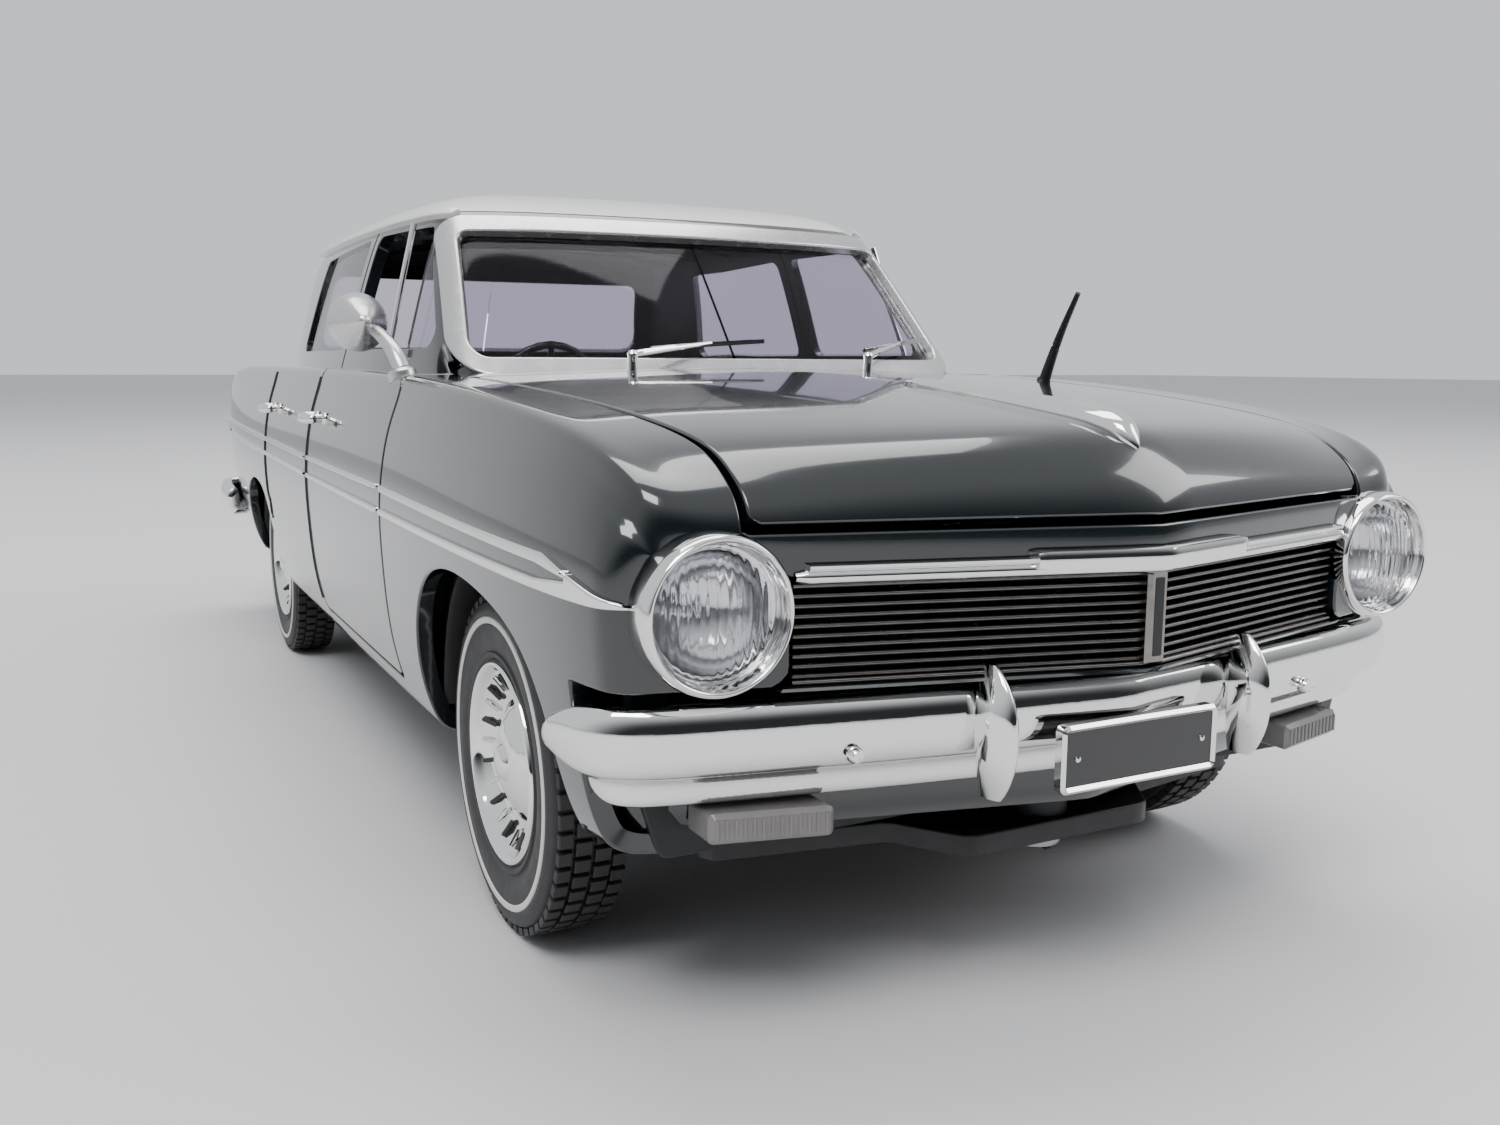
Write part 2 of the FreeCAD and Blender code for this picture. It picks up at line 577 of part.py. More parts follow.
lamp_spaces = [Part.makeCylinder(3.6, 12, Vector(side * LAMP_X, -72, LAMP_Z), Vector(0, 1, 0)) for side in (-1, 1)]
node("side_mouldings", Part.makeCompound(
    [spear(outline, inner, *SIDE_OF[side]).cut(lamp_spaces) for side in ("right", "left")
     for outline, inner in ((WING_SPEAR, WING_SPEAR_GAP), (QUARTER_SPEAR, QUARTER_SPEAR_GAP))]))
for side in ("right", "left"):
    node(f"door_{side}_moulding", spear(DOOR_SPEAR, DOOR_SPEAR_GAP, *SIDE_OF[side]))


def handle(label, y, z, sign):
    """A door handle: a grip on two feet, standing on the skin."""
    grip = Part.makeCylinder(0.42, 4.4, Vector(sign * 27.75, y - 2.2, z), Vector(0, 1, 0))
    feet = [Part.makeCylinder(0.36, 1.9, Vector(sign * 26.0, y + along, z), Vector(sign, 0, 0))
            for along in (-1.75, 1.75)]
    return grip.fuse(feet).cut(lower_outer)


node("rear_door_handles", Part.makeCompound([handle("rear", 21.9, 27.9, sign) for sign in (-1, 1)]))
node("door_right_handle", handle("right", -2.7, 27.9, -1))
node("door_left_handle", handle("left", -2.7, 27.9, 1))

ornament = prism([(-0.25, -66.6), (0.25, -66.6), (0.85, -64.0), (0.55, -49.0), (-0.55, -49.0), (-0.85, -64.0)],
                 "Z", 27, 34)
bonnet_layer = both_sides(half_solid(lower_net(-0.75))).cut(lower_outer)
node("bonnet_ornament", bonnet_layer.common(ornament))
boot_strip = prism([(-9, 67.5), (9, 67.5), (9, 71), (-9, 71)], "Z", 25.6, 26.5)
node("boot_strip", trim_layer.common(boot_strip))

# ---------------------------------------------------------------------------------------------
# Front end
# ---------------------------------------------------------------------------------------------

BARS, BAR_PITCH = 10, 0.455
grille = chevron(GRILLE_HALF, 1.9, 2.4, GRILLE_FOOT_Z, GRILLE_TOP_Z)
for number in range(BARS):
    foot = GRILLE_FOOT_Z + 0.26 + number * BAR_PITCH
    grille = grille.fuse(chevron(GRILLE_HALF, 0.5, 1.9, foot, foot + 0.24))
grille = grille.fuse(chevron(GRILLE_HALF, 0.3, 1.9, GRILLE_FOOT_Z, GRILLE_FOOT_Z + 0.26))
grille = grille.fuse(prism([(-0.55, NOSE_Y), (0.55, NOSE_Y), (0.55, NOSE_Y + 2.3), (-0.55, NOSE_Y + 2.3)],
                           "Z", GRILLE_FOOT_Z, GRILLE_TOP_Z))
node("grille", grille)
moulding = chevron(17.5, -0.4, 0.0, 22.95, 23.65).fuse(chevron(6.6, -0.7, 0.0, 23.2, 24.3))
node("grille_top_moulding", moulding.fuse(chevron(17.5, -0.3, 1.4, 22.9, 23.3)).cut(grille).cut(lower_shell))

lamp_turn = ((0, 3.1), (0, 3.55), (-2.2, 3.62), (-2.75, 3.4), (-2.75, 3.2), (-2.1, 3.05), (-1.55, 3.05),
             (-1.55, 2.7), (1.0, 2.7), (1.0, 3.1))


def lamp_part(name, profile, depth):
    """A turned headlamp part, as a pair, with its zero at this Y and turned towards +Y."""
    return pair(name, turned(name + "_one", list(profile), (LAMP_X, depth, LAMP_Z), Vector(0, 1, 0)))


LAMP_Y = -64.0
sleeve = turned("lamp_sleeve", list(lamp_turn), (LAMP_X, LAMP_Y, LAMP_Z), Vector(0, 1, 0)).Shape
node("headlamp_bezels", twins(sleeve.cut(lower_shell)))
node("headlamp_lenses", lamp_part("headlamp_lens_pair", [(-2.6, 0), (-2.5, 1.4), (-2.35, 2.4), (-2.1, 3.05),
                                                         (-1.55, 3.05), (-1.55, 2.7), (-1.8, 1.5), (-1.9, 0)], LAMP_Y))
node("headlamp_reflectors", lamp_part("reflector_pair", [(-0.2, 0), (-0.9, 2.65), (-0.3, 2.7), (0.4, 2.7),
                                                         (1.0, 0)], LAMP_Y))

BUMPER_PATH = [(0.0, -68.8), (5.0, -68.3), (12.0, -67.1), (19.0, -65.7), (23.4, -64.8), (25.9, -63.4),
               (26.5, -61.4), (26.5, -59.6)]
BUMPER_SECTION = [(1.3, 15.7), (1.3, 17.0), (1.1, 17.7), (0.0, 17.8), (-0.35, 16.8), (-0.4, 15.7),
                  (-0.05, 14.5), (0.75, 14.2), (1.25, 13.9), (1.3, 12.8), (1.9, 12.6), (2.2, 13.0),
                  (1.9, 14.3), (1.3, 14.9), (1.3, 15.7)]
REAR_BUMPER_PATH = [(0.0, 70.3), (7.0, 70.3), (14.0, 70.3), (21.0, 70.3), (26.4, 70.2), (27.6, 68.6),
                    (27.4, 66.0), (27.2, 62.4)]
REAR_BUMPER_SECTION = [(1.2, 14.6), (1.2, 16.4), (0.9, 17.2), (0.1, 17.3), (-0.35, 16.2), (-0.4, 14.8),
                       (-0.2, 13.4), (0.3, 12.4), (0.9, 12.2), (1.2, 13.0), (1.2, 14.6)]


def bumper_half(path, section, sign):
    """Half a bumper: a section of (depth, z) carried along a plan path; sign is the outward Y."""
    net = []
    for number, (x, y) in enumerate(path):
        before, after = path[max(number - 1, 0)], path[min(number + 1, len(path) - 1)]
        along = Vector(after[0] - before[0], after[1] - before[1], 0).normalize()
        if number == 0:
            along = Vector(1, 0, 0)
        inward = Vector(along.y, -along.x, 0) * sign
        narrow = {len(path) - 1: 0.55, len(path) - 2: 0.9}.get(number, 1.0)
        middle = 15.4
        net.append([Vector(x, y, middle + (z - middle) * narrow) + inward * depth * (-1.0)
                    for depth, z in section])
    return net


def bumper_solid(path, section, sign):
    """A whole bumper, closed by flat ends."""
    net = bumper_half(path, section, sign)
    faces = [clamped_surface(net).toShape()]
    for row in (net[0], net[-1]):
        faces.append(Part.Face(Part.Wire([clamped_curve(row)])))
    return both_sides(closed_solid(faces))


front_bumper = bumper_solid(BUMPER_PATH, BUMPER_SECTION, 1)
rear_bumper = bumper_solid(REAR_BUMPER_PATH, REAR_BUMPER_SECTION, -1)


def bullet(x, y, low, high):
    """An overrider: an upright pointed bar in front of a bumper."""
    levels = [(low, 0.4, 0.5), (low + 0.9, 0.7, 1.1), (low + 3.6, 0.85, 1.7), (high - 1.1, 0.7, 1.2),
              (high, 0.3, 0.4)]
    wires = []
    for z, wide, deep in levels:
        ring = Part.Ellipse(Vector(0, 0, 0), max(wide, deep), min(wide, deep)).toShape()
        ring.rotate(Vector(0, 0, 0), Vector(0, 0, 1), 90)
        ring.translate(Vector(x, y, z))
        wires.append(Part.Wire([ring]))
    return Part.makeLoft(wires, True, False)


front_guards = [bullet(x, -68.6, 12.7, 18.9).cut(front_bumper.fuse(grille)) for x in (-8.1, 8.1)]
rear_guards = [bullet(x, 70.1, 12.0, 17.8).cut(rear_bumper.fuse(lower_outer)) for x in (-11.0, 11.0)]
front_bumper = max(front_bumper.cut(casting).Solids, key=lambda solid: solid.Volume)
node("front_bumper", front_bumper)
rear_bumper = rear_bumper.cut(lower_outer)
node("rear_bumper", rear_bumper)
node("overriders", Part.makeCompound(front_guards + rear_guards))


def plate(front_y, z, sign, tall, bumper):
    """A number plate's frame and its blank panel, in front of a bumper; sign is the outward Y."""
    def card(margin, near, far):
        half, high = 5.0 - margin, tall - margin
        low_y, high_y = sorted((front_y - sign * near, front_y - sign * far))
        corners = [(-half, z - high), (half, z - high), (half, z + high), (-half, z + high)]
        return rounded_prism(corners, "Y", low_y, high_y, 0.3)

    frame = card(0.0, 0.0, 0.8).cut(card(0.35, -1.0, 0.3)).cut(bumper)
    return frame, card(0.35, 0.15, 0.3)


front_frame, front_panel = plate(-70.0, 14.2, -1, 1.68, front_bumper)
rear_frame, rear_panel = plate(71.1, 15.0, 1, 1.5, rear_bumper)
node("plate_frames", Part.makeCompound([front_frame, rear_frame]))
node("number_plates", Part.makeCompound([front_panel, rear_panel]))

indicator = rounded_prism([(14.8, 10.9), (20.8, 10.9), (20.8, 12.45), (14.8, 12.45)], "Y", -68, -60, 0.25)
indicator = indicator.common(chevron(24, 0.4, CHIN_DEPTH, 10, 14)).cut(front_bumper)
node("indicator_lenses", twins(indicator))

tail_box = rounded_prism(TAIL_LAMP, "Y", 67.2, TAIL_Y + 0.45, 0.9)
tail_bezel = rounded_prism(grown(TAIL_LAMP, 0.55), "Y", TAIL_Y, TAIL_Y + 0.6, 1.2)
tail_bezel = tail_bezel.cut(rounded_prism(TAIL_LAMP, "Y", 60, 75, 0.9)).cut(lower_outer)
node("tail_lamp_lenses", twins(tail_box.cut(lower_shell)))
node("tail_lamp_bezels", twins(tail_bezel))


def screen_y(x, z):
    """The Y of the windscreen's outside at this x and z."""
    probe = Part.makeLine(Vector(x, -45, z), Vector(x, 0, z)).common(roof_outer)
    return min(v.Point.y for v in probe.Vertexes)


def wiper(hub, foot, tip):
    """A wiper: spindle, arm and blade, lying just off the windscreen; points are (x, z)."""
    lift = 0.62
    a, b = (Vector(x, screen_y(x, z) - lift, z) for x, z in (foot, tip))
    middle = (a + b) * 0.5
    base = Vector(hub[0], hub[1], 31.6)
    head = Vector(hub[0], hub[1], 33.2)
    blade = Part.makeCylinder(0.17, (b - a).Length, a, b - a)
    arm = Part.makeCylinder(0.17, (middle - head).Length, head, middle - head)
    spindle = Part.makeCylinder(0.5, 1.6, base, Vector(0, 0, 1))
    return spindle.fuse([arm, blade, Part.makeSphere(0.3, middle)]).cut([painted, roof_solid(-0.35)])


node("wipers", Part.makeCompound([wiper((-9.4, -28.6), (-7.0, 33.6), (2.4, 34.2)),
                                  wiper((10.4, -28.4), (11.5, 33.6), (18.8, 34.6))]))

AERIAL_BEND = (22.2, -36.6, 34.4)
mast = [rod("aerial_foot", 0.75, (22.0, -35.3, 30.2), (22.0, -35.4, 31.5)),
        rod("aerial_mast", 0.42, (22.0, -35.4, 31.2), AERIAL_BEND),
        rod("aerial_tip", 0.24, AERIAL_BEND, (22.0, -38.9, 37.8))]
node("aerial", joined("aerial_joined", mast).Shape.cut(lower_outer))

# ---------------------------------------------------------------------------------------------
# Doors' fittings
# ---------------------------------------------------------------------------------------------

card = prism([(-25.6, 12.2), (0.6, 12.2), (0.6, 30.2), (-25.6, 30.2)], "X", 24.0, 28.0).common(lower_inner)
rest = rounded_prism([(-14.0, 22.6), (-5.0, 22.6), (-5.0, 23.8), (-14.0, 23.8)], "X", 23.0, 24.2, 0.4)
crank = Part.makeCylinder(0.9, 0.7, Vector(23.4, -17.0, 21.0), Vector(1, 0, 0))
card = card.fuse([rest, crank])
node("door_left_card", card)
node("door_right_card", mirrored(card))

head = turned("mirror_head", [(-3.0, 0), (-2.8, 0.45), (-1.9, 1.1), (-0.8, 1.75), (0.2, 2.05), (0.45, 1.95), (0.3, 0)],
              (-26.25, -18.4, 35.3), Vector(0, 1, 0))
stalk = rod("mirror_stalk", 0.45, (-24.5, -23.6, 31.9), (-25.8, -19.6, 34.8))
foot = rod("mirror_foot", 0.8, (-24.5, -23.7, 31.4), (-24.55, -23.5, 32.4))
node("door_right_mirror", joined("mirror_joined", [head, stalk, foot]).Shape.cut(painted))

# ---------------------------------------------------------------------------------------------
# Interior
# ---------------------------------------------------------------------------------------------

DASH = [(-27.6, 24.0), (-27.6, 30.4), (-22.4, 31.0), (-20.6, 29.7), (-20.9, 26.4), (-22.6, 25.0)]
dash = rounded_prism(DASH, "X", -21.4, 21.4, 0.5).cut([casting] + list(door_hole.values()))
cowl = Part.makeCylinder(2.9, 1.2, Vector(-11.0, -21.2, 29.0), Vector(0, 1, 0.2))
node("dashboard", dash.fuse(cowl))
COLUMN_TOP = (-11.0, -14.9, 30.0)
COLUMN_WAY = Vector(0, 0.94, 0.34)
wheel_rim = doc.addObject("Part::Torus", "steering_rim")
wheel_rim.setExpression("Radius1", "Dimensions.wheel_rim_radius")
wheel_rim.Radius2 = 0.3
wheel_spokes = [rod("spoke_across", 0.28, (-3.9, 0, 0), (3.9, 0, 0)), rod("spoke_down", 0.28, (0, 0, 0), (0, -3.9, 0)),
                rod("steering_boss", 0.9, (0, 0, -0.4), (0, 0, 0.5))]
column = rod("steering_column", 0.5, (0, 0, -5.2), (0, 0, -0.3))
steering = joined("steering_joined", [wheel_rim, column] + wheel_spokes)
steering.Placement = Placement(Vector(*COLUMN_TOP) + COLUMN_WAY * 0.4, Rotation(Vector(0, 0, 1), COLUMN_WAY))
doc.recompute()
node("steering_wheel", steering.Shape.cut(nodes["dashboard"].Shape))

tub_outline = [(-22.9, -26.9), (22.9, -26.9), (22.9, 22.6), (-22.9, 22.6)]
tub = padded("tub", "XY_Plane", [tub_outline], PLATE_TOP, 13.2)
tub_cavity = padded("tub_cavity", "XY_Plane", [[(-22.1, -26.1), (22.1, -26.1), (22.1, 21.8), (-22.1, 21.8)]],
                    PLATE_TOP + 0.9, 14.0)
tub_pan = without("tub_pan", tub, tub_cavity)
tunnel = padded("tunnel", "XZ_Plane", [[(-3.4, 9.0), (3.4, 9.0), (2.4, 13.0), (-2.4, 13.0)]], -26.5, 22.2)
node("interior_tub", joined("tub_joined", [tub_pan, tunnel]))


def bench(half, cushion, back):
    """A bench seat across the car: side outlines of its cushion and its back, rounded at their edges."""
    return rounded_prism(cushion, "X", -half, half, 0.8).fuse(rounded_prism(back, "X", -half, half, 0.8))


tunnel_space = nodes["interior_tub"].Shape
node("front_bench", bench(21.2, [(-11.5, 13.2), (-11.5, 20.4), (1.5, 19.6), (4.0, 13.2)],
                          [(0.4, 17.0), (3.4, 33.0), (6.0, 33.0), (5.2, 13.2), (0.4, 13.2)]).cut(tunnel_space))
node("rear_bench", bench(17.6, [(12.0, 13.3), (12.0, 19.8), (23.0, 19.0), (23.0, 13.3)],
                         [(21.6, 17.0), (25.0, 31.6), (27.6, 31.6), (27.0, 13.3), (21.6, 13.3)]))
shelf = prism([(27.7, 29.4), (41.5, 29.4), (41.5, 30.3), (27.7, 30.3)], "X", -21, 21).cut(casting)
node("parcel_shelf", shelf.common(roof_inner.fuse(lower_inner)))

# ---------------------------------------------------------------------------------------------
# Chassis
# ---------------------------------------------------------------------------------------------

WIDE, NARROW = 23.2, 18.2
plan_half = [(8.5, -60.6), (NARROW, -58.9), (NARROW, -32.4), (WIDE, -30.8), (WIDE, 25.6),
             (NARROW, 26.6), (NARROW, 51.4), (22.2, 52.6), (22.2, 65.4)]
plan = [(-6.0, -64.4), (6.0, -64.4)] + plan_half + [(-x, y) for x, y in reversed(plan_half)]
floor_pan = padded("floor_pan", "XY_Plane", [plan], PLATE_TOP - size("plate_thickness"), PLATE_TOP)
slots = []
for number, axle_y in enumerate((FRONT_Y, REAR_Y)):
    reach = 3.4
    slots.append(padded(f"axle_slot_{number}", "XY_Plane",
                        [[(-13.8, axle_y - reach), (13.8, axle_y - reach), (13.8, axle_y + reach),
                          (-13.8, axle_y + reach)]], 5.0, 12.0))
slots.append(padded("sump_slot", "XY_Plane", [[(-3.2, -57.0), (3.2, -57.0), (3.2, -49.0), (-3.2, -49.0)]], 5.0, 12.0))
bearings = []
for axle_y in (FRONT_Y, REAR_Y):
    for low in (-17.8, 13.8):
        bearings.append(block(f"bearing_{len(bearings)}", (low, axle_y - 2.4, 8.0), (low + 4.0, axle_y + 2.4, 12.6)))
bosses, screw_holes = [], []
for name in ("front", "rear"):
    boss = rod(f"boss_{name}", 2.6, (0, size(f"screw_{name}_y"), 7.8), (0, size(f"screw_{name}_y"), 12.8), "boss_radius")
    hole = rod(f"screw_hole_{name}", 1.25, (0, size(f"screw_{name}_y"), 5), (0, size(f"screw_{name}_y"), 15),
               "screw_radius")
    bosses.append(boss)
    screw_holes.append(hole)
bores = [rod(f"axle_bore_{number}", size("axle_radius") + 0.08, (-19, axle_y, WHEEL_Z), (19, axle_y, WHEEL_Z))
         for number, axle_y in enumerate((FRONT_Y, REAR_Y))]
screw_clearance = [rod(f"chassis_screw_hole_{number}", 0.75, (0, y, 5), (0, y, 10))
                   for number, y in enumerate((-62.2, 64.2))]
plate_with_slots = without("plate_with_slots", floor_pan, joined("slots", slots))
chassis_solid = joined("chassis_solid", [plate_with_slots] + bearings + bosses)
node("chassis_plate", without("chassis_cut", chassis_solid,
                              joined("chassis_holes", screw_holes + bores + screw_clearance)))
screws = []
for number, y in enumerate((-62.2, 64.2)):
    screw_head = rod(f"screw_head_{number}", 1.5, (0, y, 6.9), (0, y, 7.8))
    screw_shank = rod(f"screw_shank_{number}", 0.75, (0, y, 7.4), (0, y, 13.4))
    slot = block(f"screw_slot_{number}", (-1.6, y - 0.18, 6.6), (1.6, y + 0.18, 7.2))
    screws.append(without(f"screw_{number}", joined(f"screw_body_{number}", [screw_head, screw_shank]), slot))
node("chassis_screws", group("screws", screws))
chassis = nodes["chassis_plate"].Shape

well = arch_solid(spread(FRONT_ARCH, 0.8), 18.3, 27).cut(arch_solid(FRONT_ARCH, 18.9, 28))
well_rear = arch_solid(spread(REAR_ARCH, 0.8), 18.3, 27).cut(arch_solid(REAR_ARCH, 18.9, 28))
above = prism([(-70, -70), (70, -70), (70, 75), (-70, 75)], "Z", 9.0, 40)
turning = [Part.makeCylinder(radius, 2 * reach, Vector(side * 23.2 - reach, axle_y, WHEEL_Z), Vector(1, 0, 0))
           for axle_y in (FRONT_Y, REAR_Y) for side in (-1, 1) for radius, reach in ((10.4, 3.8), (1.3, 6.0))]
wells = [part.common(lower_inner).common(above).cut([chassis, casting] + turning) for part in (well, well_rear)]
node("wheel_wells", Part.makeCompound([w for part in wells for w in (part, mirrored(part))]))
tray = prism([(-17.6, 43.0), (17.6, 43.0), (17.6, 51.8), (21.0, 51.8), (21.0, 65.3), (-21.0, 65.3),
              (-21.0, 51.8), (-17.6, 51.8)], "Z", 13.4, 14.2).common(lower_inner)
tray_post = Part.makeCylinder(1.7, 6, Vector(0, 64.2, 12))
node("boot_floor", tray.cut([casting, tray_post]))
node("rear_axle_housing", turned("axle_tube", [(-13.8, 0.84), (-13.8, 1.35), (-3.4, 1.5), (-2.2, 3.0), (2.2, 3.0),
                                               (3.4, 1.5), (13.8, 1.35), (13.8, 0.84)], (0, REAR_Y, WHEEL_Z)))
pipe = Part.makeCylinder(0.5, 62.0, Vector(-8.5, -30.0, 7.3), Vector(0, 1, 0))
silencer = Part.makeCylinder(1.25, 12.0, Vector(-8.5, 6.0, 7.0), Vector(0, 1, 0))
tail_pipe = Part.makeCylinder(0.5, 22.5, Vector(-8.5, 45.5, 7.3), Vector(0, 1, 0))
tail_silencer = Part.makeCylinder(1.0, 6.0, Vector(-8.5, 46.0, 7.1), Vector(0, 1, 0))
node("exhaust", Part.makeCompound([pipe.fuse(silencer).cut(chassis), tail_pipe.fuse(tail_silencer).cut(chassis)]))

# ---------------------------------------------------------------------------------------------
# Engine bay
# ---------------------------------------------------------------------------------------------

block_outline = [(-3.0, 9.2), (3.0, 9.2), (3.0, 13.0), (4.2, 13.6), (4.2, 20.6), (-4.2, 20.6), (-4.2, 13.6),
                 (-3.0, 13.0)]
engine = padded("engine", "XZ_Plane", [block_outline], -57.0, -38.5)
bore_space = rod("engine_axle_space", 2.0, (-5, FRONT_Y, WHEEL_Z), (5, FRONT_Y, WHEEL_Z))
fan_hub = rod("fan_hub", 0.9, (0, -58.5, 17.5), (0, -56.5, 17.5))
blades = [block("fan_blade_up", (-0.8, -58.3, 13.0), (0.8, -58.0, 22.0)),
          block("fan_blade_across", (-4.5, -58.3, 16.7), (4.5, -58.0, 18.3))]
engine_cut = without("engine_cut", engine, bore_space)
node("engine_block", joined("engine_joined", [engine_cut, fan_hub] + blades).Shape.cut(chassis))
cover = rounded_prism([(-2.1, 20.6), (2.1, 20.6), (2.1, 22.2), (1.5, 23.4), (-1.5, 23.4), (-2.1, 22.2)],
                      "Y", -56.2, -39.6, 0.3)
cap = Part.makeCylinder(0.9, 0.7, Vector(0, -53.5, 23.4))
node("rocker_cover", cover.fuse(cap))
cleaner = turned("cleaner", [(0.0, 0), (0.0, 3.0), (0.35, 3.4), (1.9, 3.4), (2.2, 3.1), (2.3, 0.8), (2.7, 0.6), (2.7, 0)],
                 (4.2, -47.5, 24.1), Vector(0, 0, 1))
neck = rod("cleaner_neck", 1.2, (5.4, -47.5, 19.2), (5.4, -47.5, 24.3))
carburettor = block("carburettor", (4.2, -49.2, 16.8), (6.8, -45.8, 20.4))
node("air_cleaner", joined("cleaner_joined", [cleaner, neck, carburettor]))
core = block("radiator_core", (-9.0, -60.4, 11.0), (9.0, -59.2, 23.2))
top_tank = block("radiator_tank", (-9.0, -60.8, 21.8), (9.0, -58.9, 23.8))
radiator_cap = rod("radiator_cap", 0.9, (3.5, -59.8, 23.8), (3.5, -59.8, 24.4))
radiator_feet = [block(f"radiator_foot_{number}", (low, -60.3, PLATE_TOP), (low + 1.2, -59.3, 11.0))
                 for number, low in enumerate((-8.6, 7.4))]
node("radiator", joined("radiator_joined", [core, top_tank, radiator_cap] + radiator_feet))
battery = block("battery_case", (11.5, -57.5, 16.0), (16.5, -51.5, 21.2))
terminals = [rod(f"battery_post_{number}", 0.45, (14.0, y, 21.2), (14.0, y, 22.0))
             for number, y in enumerate((-56.4, -52.6))]
battery_tray = block("battery_tray", (11.0, -58.0, PLATE_TOP), (17.0, -51.0, 16.0))
node("battery", joined("battery_joined", [battery, battery_tray] + terminals).Shape.cut(chassis))

# ---------------------------------------------------------------------------------------------
# Wheels: the tyre's and the wheel's profiles are (x, radius) for the left side
# ---------------------------------------------------------------------------------------------

RIM = size("rim_radius")
TYRE_IN = size("tyre_x")
TYRE_OUT = TYRE_IN + size("tyre_width")
TYRE = [(TYRE_IN + 0.5, RIM), (TYRE_IN + 0.1, 7.2), (TYRE_IN, 8.4), (TYRE_IN + 0.25, 9.3), (TYRE_IN + 0.75, 9.75),
        (TYRE_IN + 1.5, WHEEL_Z), (TYRE_OUT - 1.5, WHEEL_Z), (TYRE_OUT - 0.75, 9.75), (TYRE_OUT - 0.25, 9.3),
        (TYRE_OUT, 8.4), (TYRE_OUT - 0.1, 7.2), (TYRE_OUT - 0.35, RIM)]
WHEEL = [(20.6, 0.75), (20.6, 1.9), (22.3, 2.4), (22.3, 4.9), (20.5, 5.4), (20.5, RIM), (24.3, RIM), (24.5, 5.75),
         (24.45, 5.45), (23.9, 4.9), (23.3, 4.2), (23.2, 3.4), (23.5, 2.8), (23.95, 2.05), (24.3, 1.5), (24.5, 0.8),
         (24.55, 0.0), (23.6, 0.0), (23.6, 0.75)]
for end, axle_y in (("front", FRONT_Y), ("rear", REAR_Y)):
    place = (0, axle_y, WHEEL_Z)
    node(f"{end}_tyres", pair(f"{end}_tyre_pair", turned(f"{end}_tyre", TYRE, place)))
    node(f"{end}_wheels", pair(f"{end}_wheel_pair", turned(f"{end}_wheel", WHEEL, place)))
    half_length = 0.5 * size("axle_length")
    node(f"{end}_axle_rod", rod(f"{end}_axle_bar", size("axle_radius"), (-half_length, axle_y, WHEEL_Z),
                                (half_length, axle_y, WHEEL_Z), "axle_radius"))

# ---------------------------------------------------------------------------------------------
# Checks and export
# ---------------------------------------------------------------------------------------------

doc.recompute()
for thing in doc.Objects:
    if "Invalid" in thing.State or "Error" in thing.State:
        raise RuntimeError(f"{thing.Label} is in state {thing.State}")
os.makedirs("parts", exist_ok=True)
for label, thing in nodes.items():
    shape = thing.Shape
    if not shape.isValid() or not shape.Solids:
        raise RuntimeError(f"{label} has no valid solid")
    print(f"{label}: {len(shape.Solids)} solids, {shape.Volume:.1f} mm3")
    shape.exportStep(f"parts/{label}.step")
print(len(nodes), "nodes")
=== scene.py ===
"""Looks for the diecast collector car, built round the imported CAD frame. Metres, same frame as the CAD."""
import json
import math

import bmesh
import bpy
import numpy as np
from mathutils import Matrix, Vector


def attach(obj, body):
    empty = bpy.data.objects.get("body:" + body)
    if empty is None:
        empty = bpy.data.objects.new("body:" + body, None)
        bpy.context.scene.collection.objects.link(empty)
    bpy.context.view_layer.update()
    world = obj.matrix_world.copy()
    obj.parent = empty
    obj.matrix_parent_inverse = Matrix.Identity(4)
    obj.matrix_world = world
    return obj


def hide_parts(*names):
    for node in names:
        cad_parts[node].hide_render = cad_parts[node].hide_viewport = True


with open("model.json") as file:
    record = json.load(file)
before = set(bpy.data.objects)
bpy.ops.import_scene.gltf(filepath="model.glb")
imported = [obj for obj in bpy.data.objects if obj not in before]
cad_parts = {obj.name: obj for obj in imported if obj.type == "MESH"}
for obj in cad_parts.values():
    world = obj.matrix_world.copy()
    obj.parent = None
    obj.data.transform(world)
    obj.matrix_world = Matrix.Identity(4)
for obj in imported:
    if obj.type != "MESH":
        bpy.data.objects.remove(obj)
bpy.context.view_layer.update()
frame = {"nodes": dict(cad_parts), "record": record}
NODES = frame["nodes"]
MM = 0.001

# ---------------------------------------------------------------------------------------------
# Camera: the photograph's angle
# ---------------------------------------------------------------------------------------------


def camera_axes(azimuth, elevation, roll):
    """Right, up and back vectors of a camera at this angle; azimuth 0 looks along +Y."""
    a, e, r = (math.radians(v) for v in (azimuth, elevation, roll))
    back = Vector((math.sin(a) * math.cos(e), -math.cos(a) * math.cos(e), math.sin(e)))
    right = Vector((0, 0, 1)).cross(back).normalized()
    up = back.cross(right)
    return (math.cos(r) * right + math.sin(r) * up, -math.sin(r) * right + math.cos(r) * up, back)


camera = bpy.data.objects.new("camera", bpy.data.cameras.new("camera"))
bpy.context.scene.collection.objects.link(camera)
camera.data.sensor_width = 36.0
camera.data.lens = 31.415
camera.data.clip_start = 0.002
axes = camera_axes(-27.564, 8.6875, 0.2975)
camera.matrix_world = Matrix.Translation((-0.045286, -0.115431, 0.032591)) @ \
    Matrix(((axes[0].x, axes[1].x, axes[2].x), (axes[0].y, axes[1].y, axes[2].y),
            (axes[0].z, axes[1].z, axes[2].z))).to_4x4()
bpy.context.scene.camera = camera

# ---------------------------------------------------------------------------------------------
# Materials
# ---------------------------------------------------------------------------------------------


